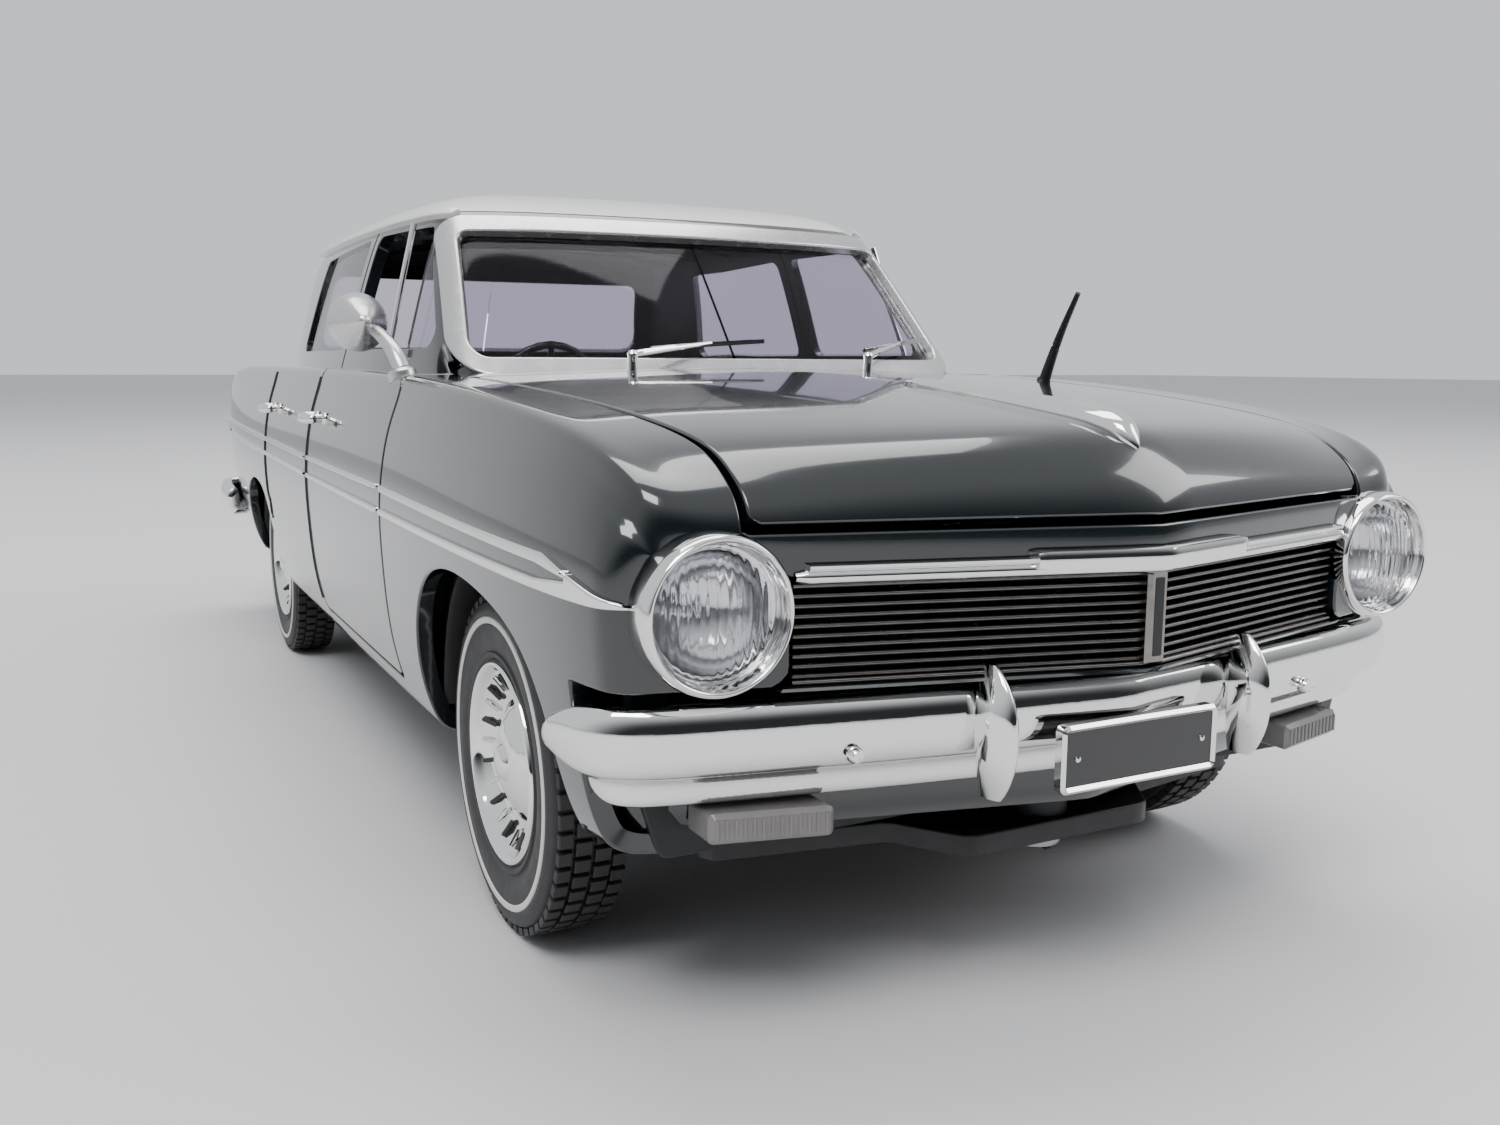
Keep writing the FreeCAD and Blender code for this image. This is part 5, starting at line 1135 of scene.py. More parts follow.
ornament = Build()
ys = np.concatenate([np.linspace(-68.6, -66.0, 10), np.linspace(-65.5, -48.6, 22)])
wide = np.interp(ys, [-68.6, -67.9, -66.6, -63.5, -50.0, -48.6], [0.1, 0.7, 1.05, 1.0, 0.5, 0.15])
tall = np.interp(ys, [-68.6, -67.9, -66.6, -63.5, -50.0, -48.6], [0.25, 0.7, 0.75, 0.7, 0.45, 0.1])
section = [(math.cos(t), math.sin(t) ** 0.8) for t in np.linspace(0, math.pi, 11)] + [(-0.9, -0.3),
                                                                                      (0.9, -0.3)]
rows = [[(a * w, y, bonnet_z(y) + b * h) for a, b in section] for y, w, h in zip(ys, wide, tall)]
count = len(section)
ornament.add(np.array(rows).reshape(-1, 3), grid_faces(len(ys), count, True)
             + [list(range(count)), [len(ys) * count - count + k for k in reversed(range(count))]])
ornament.make("ornament", "bonnet", "bright", CHROME, ["bonnet_ornament"], sharp=50)
boot_trim = Build()
boot_trim.add(*slab([(-9.0, 25.62), (9.0, 25.62), (9.0, 26.48), (-9.0, 26.48)], "Y", 69.0, 69.6, 0.2, 0.3))
boot_trim.add(*slab([(-2.6, 27.3), (2.6, 27.3), (2.0, 28.0), (-2.0, 28.0)], "Y", 69.1, 69.7, 0.15, 0.2))
boot_trim.make("boot_trim", "boot_lid", "bright", CHROME, ["boot_strip"])


def door_handle(build, y, z, sign):
    """A lift-up handle: a tapering grip over two feet, with a push button."""
    xs = sign * np.array([27.35, 27.7, 27.85, 27.85, 27.7, 27.3])
    ys = y + np.array([-2.35, -1.9, -0.8, 0.9, 1.9, 2.3])
    path = np.stack([xs, ys, np.full(6, z)], 1)
    build.add(*tube(spline_line(np.concatenate([path[:1], path, path[-1:]]), 20), 0.4, 12,
                    np.interp(np.linspace(0, 1, 20), [0, 0.1, 0.5, 0.9, 1], [0.22, 0.38, 0.46, 0.4, 0.22])))
    for along in (-1.75, 1.75):
        build.add(*lathe([(0, 0.55), (0.12, 0.52), (0.3, 0.36), (1.4, 0.34)], (sign * 26.45, y + along, z),
                         (sign, 0, 0), 20))
    build.add(*lathe([(0, 0.42), (1.15, 0.42), (1.28, 0.34), (1.32, 0.02)], (sign * 26.3, y + 3.1, z),
                     (sign, 0, 0), 20))


for label, sign in (("right", -1), ("left", 1)):
    grip = Build()
    door_handle(grip, -2.7, 27.9, sign)
    grip.make(f"handle_{label}", f"door_{label}", "bright", CHROME, [f"door_{label}_handle"])
grips = Build()
for sign in (-1, 1):
    door_handle(grips, 21.9, 27.9, sign)
grips.make("rear_handles", "shell", "bright", CHROME, ["rear_door_handles"])

mirror = Build()
mirror.add(*lathe(smooth_profile([(-3.2, 0.02), (-3.05, 0.4), (-2.0, 1.1), (-0.8, 1.75), (0.25, 2.1),
                                  (0.5, 2.08),
                                  (0.55, 1.95), (0.35, 1.85)], 0.25), (-26.25, -18.4, 35.3), (0.05, 1, 0.0),
                                  48), mark=0)
mirror.add(*lathe([(0.36, 1.87), (0.34, 0.02)], (-26.25, -18.4, 35.3), (0.05, 1, 0.0), 48), mark=1)
mirror.add(*tube(spline_line([(-24.5, -23.8, 32.0), (-24.7, -23.4, 32.9), (-25.0, -22.2, 33.9),
                              (-25.5, -20.6, 34.7),
                              (-25.9, -19.2, 35.1)], 18), 0.45, 12, np.linspace(0.62, 0.4, 18)), mark=0)
mirror.add(*lathe([(-0.5, 1.0), (0.15, 0.95), (0.35, 0.7), (0.5, 0.4)], (-24.5, -23.75, 31.75),
                  (-0.2, 0.1, 1.0), 24), mark=0)
mirror.make("wing_mirror", "door_right", "bright", [SILVER, CHROME], ["door_right_mirror"])

# wipers and aerial


def screen_at(x, z):
    """The Y of the windscreen's outside at this x and z."""
    p = roof_points.reshape(-1, 3)
    front = p[p[:, 1] < -8]
    order = np.argsort((front[:, 0] - x) ** 2 + (front[:, 2] - z) ** 2)[:4]
    weight = 1 / (1e-6 + (front[order, 0] - x) ** 2 + (front[order, 2] - z) ** 2)
    return float((front[order, 1] * weight).sum() / weight.sum())


wipers = Build()
for hub, foot, tip in (((-9.4, -28.6), (-7.0, 33.6), (2.4, 34.2)),
                       ((10.4, -28.4), (11.5, 33.6), (18.8, 34.6))):
    blade = np.array([(x, screen_at(x, z) - 0.62, z) for x, z in zip(np.linspace(foot[0], tip[0], 9),
                                                                    np.linspace(foot[1], tip[1], 9))])
    middle = blade[4]
    wipers.add(*sweep(blade, [(-0.1, -0.16), (-0.1, 0.16), (0.1, 0.16), (0.1, -0.16)]), mark=0)
    wipers.add(*sweep(blade[1:8] + np.array([0, -0.22, 0.12]),
                      [(-0.09, -0.07), (-0.09, 0.07), (0.09, 0.07), (0.09, -0.07)]), mark=0)
    wipers.add(*sweep(blade + np.array([0, 0.22, -0.05]),
                      [(-0.05, -0.12), (-0.05, 0.1), (0.05, 0.1), (0.05, -0.12)]), mark=1)
    head = np.array([hub[0], hub[1], 33.1])
    wipers.add(*tube(spline_line([head, head * 0.7 + middle * 0.3 + [0, -0.35, 0.15],
                                  head * 0.3 + middle * 0.7 + [0, -0.3, 0.1],
                                  middle + [0, -0.25, 0.1]], 14), 0.2, 10, np.linspace(0.26, 0.16, 14)),
                                  mark=0)
    wipers.add(*lathe([(-1.5, 0.36), (-0.2, 0.34), (0.1, 0.42), (0.3, 0.3), (0.36, 0.02)], head,
                      (0, -0.1, 1), 20), mark=0)
wipers.make("wiper_arms", "shell", "silver_paint", [CHROME, BLACK], ["wipers"])

aerial = Build()
aerial.add(*lathe([(0, 0.85), (0.3, 0.8), (0.55, 0.55), (0.9, 0.42)], (22.0, -35.3, 30.7), (0, -0.04, 1),
                  24))
aerial.add(*tube(spline_line([(22.0, -35.4, 31.2), (22.1, -35.8, 32.4), (22.2, -36.5, 34.2),
                              (22.15, -37.6, 36.0),
                              (22.0, -38.9, 37.8)], 20), 0.4, 12, np.linspace(0.45, 0.2, 20)))
aerial.make("aerial_mast", "shell", "black_plastic", BLACK, ["aerial"])

# ---------------------------------------------------------------------------------------------
# Tail: lamps
# ---------------------------------------------------------------------------------------------

tail_lens, tail_rim = Build(), Build()
lens_loop = loop_rounded(inset_polygon(TAIL_LAMP, 0.02), 0.9, 8)
rows = [(lens_loop, 67.6), (lens_loop, 69.3), (inset_polygon(lens_loop, 0.25), 69.7),
        (inset_polygon(lens_loop, 0.7), 69.85)]
verts = [(a, y, b) for ring, y in rows for a, b in ring]
n = len(lens_loop)
tail_lens.add(verts, grid_faces(4, n, True) + [list(range(n)), [3 * n + k for k in range(n)]], mark=0)
for z in np.arange(21.9, 26.4, 0.42):
    tail_lens.add(*sweep([(21.3, 69.75, z), (22.3, 69.85, z), (23.2, 69.75, z)], ring_of(0.12, 8)), mark=0)
tail_lens.add(*lathe([(0, 0.72), (0.25, 0.68), (0.4, 0.4), (0.45, 0.02)], (22.25, 69.72, 22.5), (0, 1, 0),
                     24), mark=1)
tail_lens.mirror().make("tail_lenses", "shell", "lamp_red", [RED, LENS], ["tail_lamp_lenses"])
outer = loop_rounded(inset_polygon(TAIL_LAMP, -0.55), 1.2, 8)
inner_loop = inset_polygon(outer, 0.55)
mid_loop = inset_polygon(outer, 0.26)
rows = [(outer, 69.1), (outer, 69.5), (mid_loop, 69.85), (inner_loop, 69.55), (inner_loop, 69.1)]
tail_rim.add([(a, y, b) for ring, y in rows for a, b in ring], grid_faces(5, len(outer), True, True))
tail_rim.mirror().make("tail_rims", "shell", "bright", CHROME, ["tail_lamp_bezels"])

# ---------------------------------------------------------------------------------------------
# Wheels
# ---------------------------------------------------------------------------------------------


def tyre(build, y, side):
    """A tyre with moulded side rings and staggered tread blocks."""
    def at(points):
        return [(side * x, r) for x, r in points]
    r0 = 9.85
    wall = smooth_profile([(20.35, 5.9), (20.1, 7.0), (19.98, 8.4), (20.2, 9.2), (20.7, 9.45), (22.3, 9.5),
                           (23.9, 9.45),
                           (24.4, 9.25), (24.62, 8.75), (24.62, 8.5), (24.56, 8.42), (24.56, 8.02),
                           (24.6, 7.94),
                           (24.6, 7.3), (24.5, 6.9), (24.36, 6.55), (24.36, 6.42), (24.5, 6.36),
                           (24.46, 6.1), (24.2, 5.88),
                           (20.35, 5.9)], 0.12, 4)
    verts, faces = lathe(at(wall), (0, y, 9.85), (1, 0, 0), 128, False)
    build.add(verts, faces, mark=0)
    line = [(24.58, 8.02), (24.64, 8.06), (24.66, 8.22), (24.64, 8.38), (24.58, 8.42)]
    build.add(*lathe(at(line), (0, y, 9.85), (1, 0, 0), 128), mark=1)
    for count, low, high, phase in ((56, 20.35, 21.15, 0.0), (56, 21.3, 22.2, 0.5), (56, 22.4, 23.3, 0.0),
                                    (56, 23.45, 24.25, 0.5)):
        for k in range(count):
            a0 = (k + phase) * 2 * math.pi / count
            da = 2 * math.pi / count * 0.36
            angles = (a0 - da, a0 + da)
            top = 9.85 if 20.8 < low < 23.4 else 9.8
            vs = []
            for radius, shrink in ((9.38, 0.0), (top - 0.05, 0.0), (top, 0.12)):
                for x, a in ((low + shrink * 0.5, angles[0] + shrink * 0.02),
                             (high - shrink * 0.5, angles[0] + shrink * 0.02),
                             (high - shrink * 0.5, angles[1] - shrink * 0.02),
                             (low + shrink * 0.5, angles[1] - shrink * 0.02)):
                    vs.append((side * x, y + math.sin(a) * radius, 9.85 + math.cos(a) * radius))
            fs = grid_faces(3, 4, True) + [[8, 9, 10, 11]]
            build.add(vs, fs, mark=0)


def wheel_cover(build, y, side):
    """A dished chrome wheel trim: rim, dark well, raised ring and centre cap."""
    def at(points):
        return [(side * x, r) for x, r in points]
    rim = smooth_profile([(20.5, 5.92), (24.2, 5.95), (24.55, 5.82), (24.6, 5.6), (24.4, 5.4), (24.0, 5.2),
                          (23.55, 4.7),
                          (23.3, 4.1), (23.2, 3.5)], 0.15, 4)
    build.add(*lathe(at(rim), (0, y, 9.85), (1, 0, 0), 96), mark=0)
    dishes = smooth_profile([(23.2, 3.5), (23.32, 3.3), (23.6, 2.95), (23.85, 2.5), (24.05, 2.1),
                             (24.2, 1.7), (24.3, 1.25),
                             (24.2, 1.1), (24.35, 1.0), (24.55, 0.8), (24.66, 0.4), (24.68, 0.02)], 0.12, 4)
    build.add(*lathe(at(dishes), (0, y, 9.85), (1, 0, 0), 96), mark=0)
    build.add(*lathe(at([(23.22, 3.5), (23.14, 3.62), (23.14, 3.95), (23.3, 4.1)]), (0, y, 9.85), (1, 0, 0),
                     72), mark=1)
    for k in range(24):
        a = k * math.pi / 12
        r0, r1 = 4.15, 5.05
        p0 = (side * 23.42, y + math.sin(a) * r0, 9.85 + math.cos(a) * r0)
        p1 = (side * 23.95, y + math.sin(a) * r1, 9.85 + math.cos(a) * r1)
        build.add(*tube([p0, p1], 0.14, 8), mark=1 if k % 2 else 0)
    inside = [(20.4, 5.92), (20.4, 5.5), (22.2, 5.0), (22.2, 2.4), (20.7, 1.9), (20.6, 0.8)]
    build.add(*lathe(at(inside), (0, y, 9.85), (1, 0, 0), 64), mark=2)


for end, axle_y in (("front", -44.6), ("rear", 38.8)):
    rubber, cover, rods = Build(), Build(), Build()
    for side in (-1, 1):
        tyre(rubber, axle_y, side)
        wheel_cover(cover, axle_y, side)
    rubber.make(f"{end}_tyre_set", f"{end}_axle", "tyre_rubber", [RUBBER, WHITEWALL], [f"{end}_tyres"],
                sharp=40)
    cover.make(f"{end}_wheel_trims", f"{end}_axle", "bright", [CHROME, GRAPHITE, BLACK], [f"{end}_wheels"],
               sharp=40)
    rods.add(*lathe([(-23.6, 0.02), (-23.6, 0.7), (-23.5, 0.75), (23.5, 0.75), (23.6, 0.7), (23.6, 0.02)],
                    (0, axle_y, 9.85),
                    (1, 0, 0), 32))
    rods.make(f"{end}_axle_pin", f"{end}_axle", "steel", STEEL, [f"{end}_axle_rod"])

# ---------------------------------------------------------------------------------------------
# Inside the shell: bulkheads, cabin, engine bay
# ---------------------------------------------------------------------------------------------

ACROSS = [(-23.4, 9.6), (23.4, 9.6), (24.6, 14.0), (25.6, 20.0), (25.4, 25.0), (23.6, 29.6), (12.0, 30.9),
          (-12.0, 30.9),
          (-23.6, 29.6), (-25.4, 25.0), (-25.6, 20.0), (-24.6, 14.0)]
walls = Build()
walls.add(*slab(ACROSS, "Y", -29.8, -29.0, 0.1, 0.6))
walls.add(*slab([(-22.0, 9.6), (22.0, 9.6), (23.4, 14.0), (23.6, 24.3), (-23.6, 24.3), (-23.4, 14.0)], "Y",
                -61.9, -61.1, 0.1, 0.6))
walls.add(*slab([(-21.5, 9.6), (21.5, 9.6), (23.6, 14.0), (23.8, 18.9), (-23.8, 18.9), (-23.6, 14.0)], "Y",
                65.4, 66.2, 0.1, 0.5))
for y in (-62.2, 64.2):
    walls.add(*lathe([(8.9, 0.8), (8.9, 1.7), (16.8, 1.6), (16.9, 0.02)], (0, y, 0), (0, 0, 1), 24))
for x in (-14.0, -4.0, 6.0, 15.0):
    walls.add(*lathe([(0, 0.8), (0.3, 0.75), (0.45, 0.5), (0.5, 0.02)], (x, -29.8, 24.0), (0, -1, 0), 16))
walls.make("bulkheads", "shell", "body_paint", [LINER])



def at_side(y, z, sign, lift):
    """A point on the lower skin's side at this y and z, raised by lift."""
    half = SIDE_BANDS_ALL[0 if sign > 0 else 1]
    p, n = half[0].reshape(-1, 3), half[1].reshape(-1, 3)
    near = np.argsort((p[:, 1] - y) ** 2 + (p[:, 2] - z) ** 2)[:4]
    weight = 1 / (1e-4 + (p[near, 1] - y) ** 2 + (p[near, 2] - z) ** 2)
    weight /= weight.sum()
    return (p[near] * weight[:, None]).sum(0) + unit((n[near] * weight[:, None]).sum(0)) * lift


SIDE_BANDS_ALL = band(LOW, 10.0, 32.0)
scribe = Build()
for sign in (-1, 1):
    for path in ([(2.1, z) for z in np.linspace(12.0, 31.2, 30)],
                 [(28.6, z) for z in np.linspace(20.6, 31.4, 20)] ,
                 [(28.6 - 2.0 * t, 20.6 - 4.1 * t) for t in np.linspace(0, 1, 10)]):
        points = np.array([at_side(y, z, sign, 0.0) for y, z in path])
        scribe.add(*sweep(points, ring_of(0.13, 8)))
scribe.make("rear_door_lines", "shell", "body_paint", [LINER])

# cabin: tub with ribs and carpet, tunnel
tub = Build()
tub.add(*box((-22.9, -26.9, 8.9), (22.9, 22.6, 9.8), 0.2), mark=0)
for low, high in (((-22.9, -26.9, 9.7), (-22.1, 22.6, 13.2)), ((22.1, -26.9, 9.7), (22.9, 22.6, 13.2)),
                  ((-22.2, -26.9, 9.7), (22.2, -26.1, 13.2)), ((-22.2, 21.8, 9.7), (22.2, 22.6, 13.2))):
    tub.add(*box(low, high, 0.15), mark=0)
arch = [(-3.4, 9.0), (3.4, 9.0), (3.2, 11.2), (2.4, 12.7), (1.2, 13.1), (-1.2, 13.1), (-2.4, 12.7),
        (-3.2, 11.2)]
tub.add(*slab(arch, "Y", -26.5, 22.2, 0.3, 0.2), mark=1)
for x in np.arange(-20.4, 21.0, 2.1):
    if abs(x) > 4.2:
        tub.add(*box((x - 0.35, -25.6, 9.7), (x + 0.35, -13.0, 9.98), 0.08), mark=1)
        tub.add(*box((x - 0.35, 5.6, 9.7), (x + 0.35, 11.4, 9.98), 0.08), mark=1)
tub.add(*tube([(-0.6, -17.5, 12.6), (-0.6, -17.8, 15.6), (-0.9, -17.2, 17.4)], 0.28), mark=2)
tub.add(*lathe([(-0.7, 0.02), (-0.5, 0.5), (0.0, 0.7), (0.5, 0.5), (0.7, 0.02)], (-0.95, -17.1, 17.7),
               (0, 0.2, 1), 20), mark=1)
for x in (-17.0, -14.2, -11.4):
    tub.add(*box((x - 0.7, -26.0, 10.6), (x + 0.7, -24.9, 12.6), 0.15), mark=1)
tub.make("cabin_tub", "shell", "black_plastic", [CABIN, BLACK, CHROME], ["interior_tub"])


def superbox(rows_across, half, points_side, pleats, depth, edge):
    """A cushion: its side outline carried across the car, crowned and pleated, with soft ends."""
    outline = loop_rounded(points_side, 1.3, 6)
    centre = outline.mean(0)
    xs = np.linspace(-half, half, rows_across)
    verts = []
    for x in xs:
        end = np.clip((abs(x) - half + edge) / edge, 0, 1)
        shrink = math.sqrt(max(1 - end ** 2 * 0.75, 0.02))
        share = 1 - 0.06 * (x / half) ** 2
        groove = depth * (abs(math.cos(math.pi * x / pleats)) ** 6)
        for a, b in outline:
            away = np.array([a, b]) - centre
            reach = max(np.linalg.norm(away), 1e-6)
            away = away * (1 - groove / reach)
            verts.append((x, centre[0] + away[0] * (0.25 + 0.75 * shrink) * share,
                          centre[1] + away[1] * (0.15 + 0.85 * shrink) * share))
    n = len(outline)
    return verts, grid_faces(len(xs), n, True) + [list(range(n)),
                                                  [(len(xs) - 1) * n + k for k in reversed(range(n))]]


def seat(name, half, cushion, back, replaces, piping):
    """A moulded plastic bench seat in the shape of a pleated one, with piping along its edges."""
    pad = Build()
    pad.add(*superbox(97, half, cushion, 2.35, 0.22, 1.4), mark=0)
    pad.add(*superbox(97, half, back, 2.35, 0.22, 1.4), mark=0)
    for y, z in piping:
        xs = np.linspace(-half + 0.9, half - 0.9, 40)
        pad.add(*tube(np.stack([xs, np.full(40, y) , z + 0.12 * np.cos(xs * 0.07)], 1), 0.16, 8), mark=1)
    return pad.make(name, "shell", "trim_plastic", [VINYL, PIPING], replaces, sharp=60)


seat("front_seat", 21.1, [(-11.4, 13.3), (-11.4, 20.3), (1.4, 19.5), (3.9, 13.3)],
     [(0.5, 17.0), (3.4, 32.9), (6.0, 32.9), (5.2, 13.4), (0.5, 13.4)], ["front_bench"],
     [(-11.0, 20.35), (3.5, 32.75), (5.9, 32.75)])
seat("rear_seat", 17.5, [(12.1, 13.4), (12.1, 19.7), (22.9, 18.9), (22.9, 13.4)],
     [(21.7, 17.0), (25.0, 31.5), (27.5, 31.5), (26.9, 13.4), (21.7, 13.4)], ["rear_bench"],
     [(12.6, 19.75), (25.1, 31.35)])

dash = Build()
roll = [(-27.4, 24.2), (-27.4, 30.2), (-24.8, 30.7), (-22.6, 30.8), (-21.2, 30.5), (-20.7, 29.7),
        (-20.9, 28.9),
        (-21.5, 28.4), (-21.2, 27.2), (-21.0, 26.4), (-21.6, 25.3), (-22.8, 25.0)]
dash.add(*slab(roll, "X", -21.0, 21.0, 0.35, 0.5), mark=0)
dash.add(*box((-19.0, -21.5, 26.6), (18.6, -20.85, 28.3), 0.12), mark=1)
for x in (-13.2, -9.0):
    dash.add(*lathe([(0, 0.95), (0.35, 0.95), (0.45, 0.85), (0.3, 0.78), (0.25, 0.02)], (x, -20.95, 27.5),
                    (0, 1, 0), 32), mark=1)
    dash.add(*box((x - 0.06, -20.68, 27.4), (x + 0.06, -20.62, 28.1), 0.02), mark=2)
dash.add(*box((-2.4, -20.95, 26.9), (2.4, -20.6, 28.0), 0.12), mark=0)
for x in (-1.9, 1.9, 5.4, 6.8):
    dash.add(*lathe([(0, 0.3), (0.4, 0.28), (0.5, 0.02)], (x, -20.7, 27.4), (0, 1, 0), 16), mark=1)
dash.add(*box((9.0, -20.95, 26.0), (17.0, -20.7, 28.4), 0.12), mark=0)
dash.add(*lathe(smooth_profile([(-0.4, 2.2), (-0.4, 2.75), (0.9, 2.9), (1.2, 2.75), (1.15, 2.5), (0.3, 2.3),
                                (0.25, 0.02)], 0.2),
                (-11.0, -21.2, 29.0), (0, 1, 0.2), 40), mark=0)
dash.make("dash_panel", "shell", "black_plastic", [CABIN, CHROME, BLACK], ["dashboard"])

helm = Build()
top = np.array([-11.0, -14.9, 30.0])
way = unit(np.array([0, 0.94, 0.34]))
side_axis = np.array([1.0, 0, 0])
up_axis = np.cross(side_axis, way) * -1.0
hub = top + way * 0.4
angles = np.linspace(0, 2 * math.pi, 73)[:-1]
ring = np.array([hub + side_axis * math.cos(a) * 3.9 + up_axis * math.sin(a) * 3.9 for a in angles])
rows = []
for p, a in zip(ring, angles):
    out = side_axis * math.cos(a) + up_axis * math.sin(a)
    rows.append([p + out * math.cos(t) * (0.3 + 0.03 * math.cos(24 * a)) + way * math.sin(t) * 0.3
                 for t in np.linspace(0, 2 * math.pi, 12, endpoint=False)])
helm.add(np.array(rows).reshape(-1, 3), grid_faces(72, 12, True, True), mark=0)
for a in (0.0, math.pi, -math.pi / 2):
    out = side_axis * math.cos(a) + up_axis * math.sin(a)
    helm.add(*tube([hub - way * 0.2, hub + out * 1.8 - way * 0.25, hub + out * 3.75], 0.3, 10,
                   [0.42, 0.3, 0.24]), mark=0)
half_ring = [hub + (side_axis * math.cos(a) + up_axis * math.sin(a)) * 2.3 - way * 0.05
             for a in np.linspace(-math.pi, 0, 24)]
helm.add(*tube(half_ring, 0.14, 8), mark=1)
helm.add(*lathe(smooth_profile([(-0.5, 0.6), (-0.2, 0.9), (0.35, 0.85), (0.55, 0.5), (0.6, 0.02)], 0.15),
                hub, way, 32), mark=1)
helm.add(*tube([hub - way * 5.2, hub - way * 0.3], 0.5, 14), mark=0)
helm.add(*tube([hub - way * 1.6, hub - way * 1.7 + side_axis * 2.0, hub - way * 1.5 + side_axis * 3.0], 0.15,
               8), mark=1)
helm.make("helm", "shell", "wheel_plastic", [HELM, CHROME], ["steering_wheel"])

for label, sign in (("right", -1), ("left", 1)):
    card = Build()
    # the pad follows the skin's inside: rows up the door, each at the skin's x less its thickness
    ys = np.linspace(-25.4, 0.4, 40)
    zs = np.linspace(12.4, 29.6, 34)
    outer_rows = np.array([[at_side(y, z, sign, -1.25) for y in ys] for z in zs])
    inner_x = np.array([[24.15 - 0.12 * (abs(math.cos(math.pi * y / 1.9)) ** 8) * (14 < z < 22)
                         for y in ys] for z in zs])
    inner_rows = outer_rows.copy()
    inner_rows[..., 0] = sign * np.minimum(inner_x, np.abs(outer_rows[..., 0]) - 0.3)
    n_z, n_y = len(zs), len(ys)
    verts = np.concatenate([outer_rows.reshape(-1, 3), inner_rows.reshape(-1, 3)])
    faces = grid_faces(n_z, n_y) + [[i + n_z * n_y for i in reversed(f)] for f in grid_faces(n_z, n_y)]
    rim = [j for j in range(n_y)] + [i * n_y + n_y - 1 for i in range(1, n_z)] + \
          [(n_z - 1) * n_y + j for j in reversed(range(n_y - 1))] + [i * n_y for i in reversed(range(1,
                  n_z - 1))]
    faces += [[a, b, b + n_z * n_y, a + n_z * n_y] for a, b in zip(rim, rim[1:] + rim[:1])]
    card.add(verts, faces, mark=0)
    low, high = sorted((sign * 23.0, sign * 24.2))
    card.add(*slab([(-14.0, 22.6), (-5.0, 22.6), (-5.0, 23.8), (-14.0, 23.8)], "X", low, high, 0.25, 0.5),
             mark=1)
    card.add(*lathe([(0, 0.9), (0.25, 0.9), (0.4, 0.6), (0.45, 0.02)], (sign * 24.0, -17.0, 21.0),
                    (-sign, 0, 0), 24), mark=2)
    card.add(*tube([(sign * 23.6, -17.0, 21.0), (sign * 23.5, -15.3, 21.9)], 0.2, 8), mark=2)
    card.add(*sweep([(sign * 24.05, y, 24.9) for y in np.linspace(-25.0, 0.0, 20)], ring_of(0.16, 8)),
             mark=2)
    card.make(f"door_trim_{label}", f"door_{label}", "trim_plastic", [VINYL, CABIN, CHROME],
              [f"door_{label}_card"], sharp=50)

shelf = Build()
shelf.add(*box((-20.6, 27.9, 29.4), (20.6, 41.3, 30.3), 0.2), mark=0)
for x in (-12.0, 12.0):
    for k in range(7):
        shelf.add(*box((x - 2.6, 32.0 + k * 0.8, 30.25), (x + 2.6, 32.3 + k * 0.8, 30.42), 0.05), mark=1)
shelf.make("rear_shelf", "shell", "black_plastic", [CABIN, BLACK], ["parcel_shelf"])

# roof lining under the roof skin
headliner = Build()
for y in (-10.0, -2.0, 6.0, 14.0, 22.0):
    half_w = 15.5
    xs = np.linspace(-half_w, half_w, 30)
    headliner.add(*tube([(x, y, 44.35 - 1.2 * (abs(x) / half_w) ** 3) for x in xs], 0.16, 8))
headliner.make("roof_lining_bows", "shell", "body_paint", [LINER])

# engine bay
engine = Build()
low_block = [(-3.0, 9.3), (3.0, 9.3), (3.0, 13.0), (4.2, 13.6), (4.2, 20.5), (-4.2, 20.5), (-4.2, 13.6),
             (-3.0, 13.0)]
engine.add(*slab([(a, b) for a, b in low_block if b > 12.9] , "Y", -57.0, -38.5, 0.35, 0.3), mark=0)
engine.add(*slab([(-3.0, 9.3), (3.0, 9.3), (3.0, 13.2), (-3.0, 13.2)], "Y", -57.0, -47.0, 0.3, 0.3), mark=0)
engine.add(*slab([(-3.0, 9.3), (3.0, 9.3), (3.0, 13.2), (-3.0, 13.2)], "Y", -42.2, -38.5, 0.3, 0.3), mark=0)
for k in range(6):
    y = -55.2 + k * 3.0
    engine.add(*lathe([(0, 0.62), (0.5, 0.6), (0.9, 0.34), (1.6, 0.3), (1.7, 0.02)], (-4.1, y, 18.8),
                      (-1, 0, 0.6), 16), mark=2)
    engine.add(*tube(spline_line([(-5.4, y, 19.9), (-6.0, y, 21.4), (-5.0, y * 0.8 - 9.0, 22.0),
                                  (-4.4, -46.5, 21.6)], 14), 0.17, 8), mark=1)
    engine.add(*tube(spline_line([(4.0, y, 18.4), (5.4, y, 18.3), (6.2, y * 0.9 - 4.6, 17.4),
                                  (6.2, -47.5, 15.6)], 12), 0.55, 10), mark=3)
engine.add(*lathe([(-0.9, 0.4), (-0.9, 0.9), (1.0, 0.9), (1.1, 1.4), (1.5, 1.5), (1.7, 1.4), (1.7, 0.9),
                   (2.0, 0.8)], (0, -58.5, 17.5), (0, 1, 0), 32), mark=2)
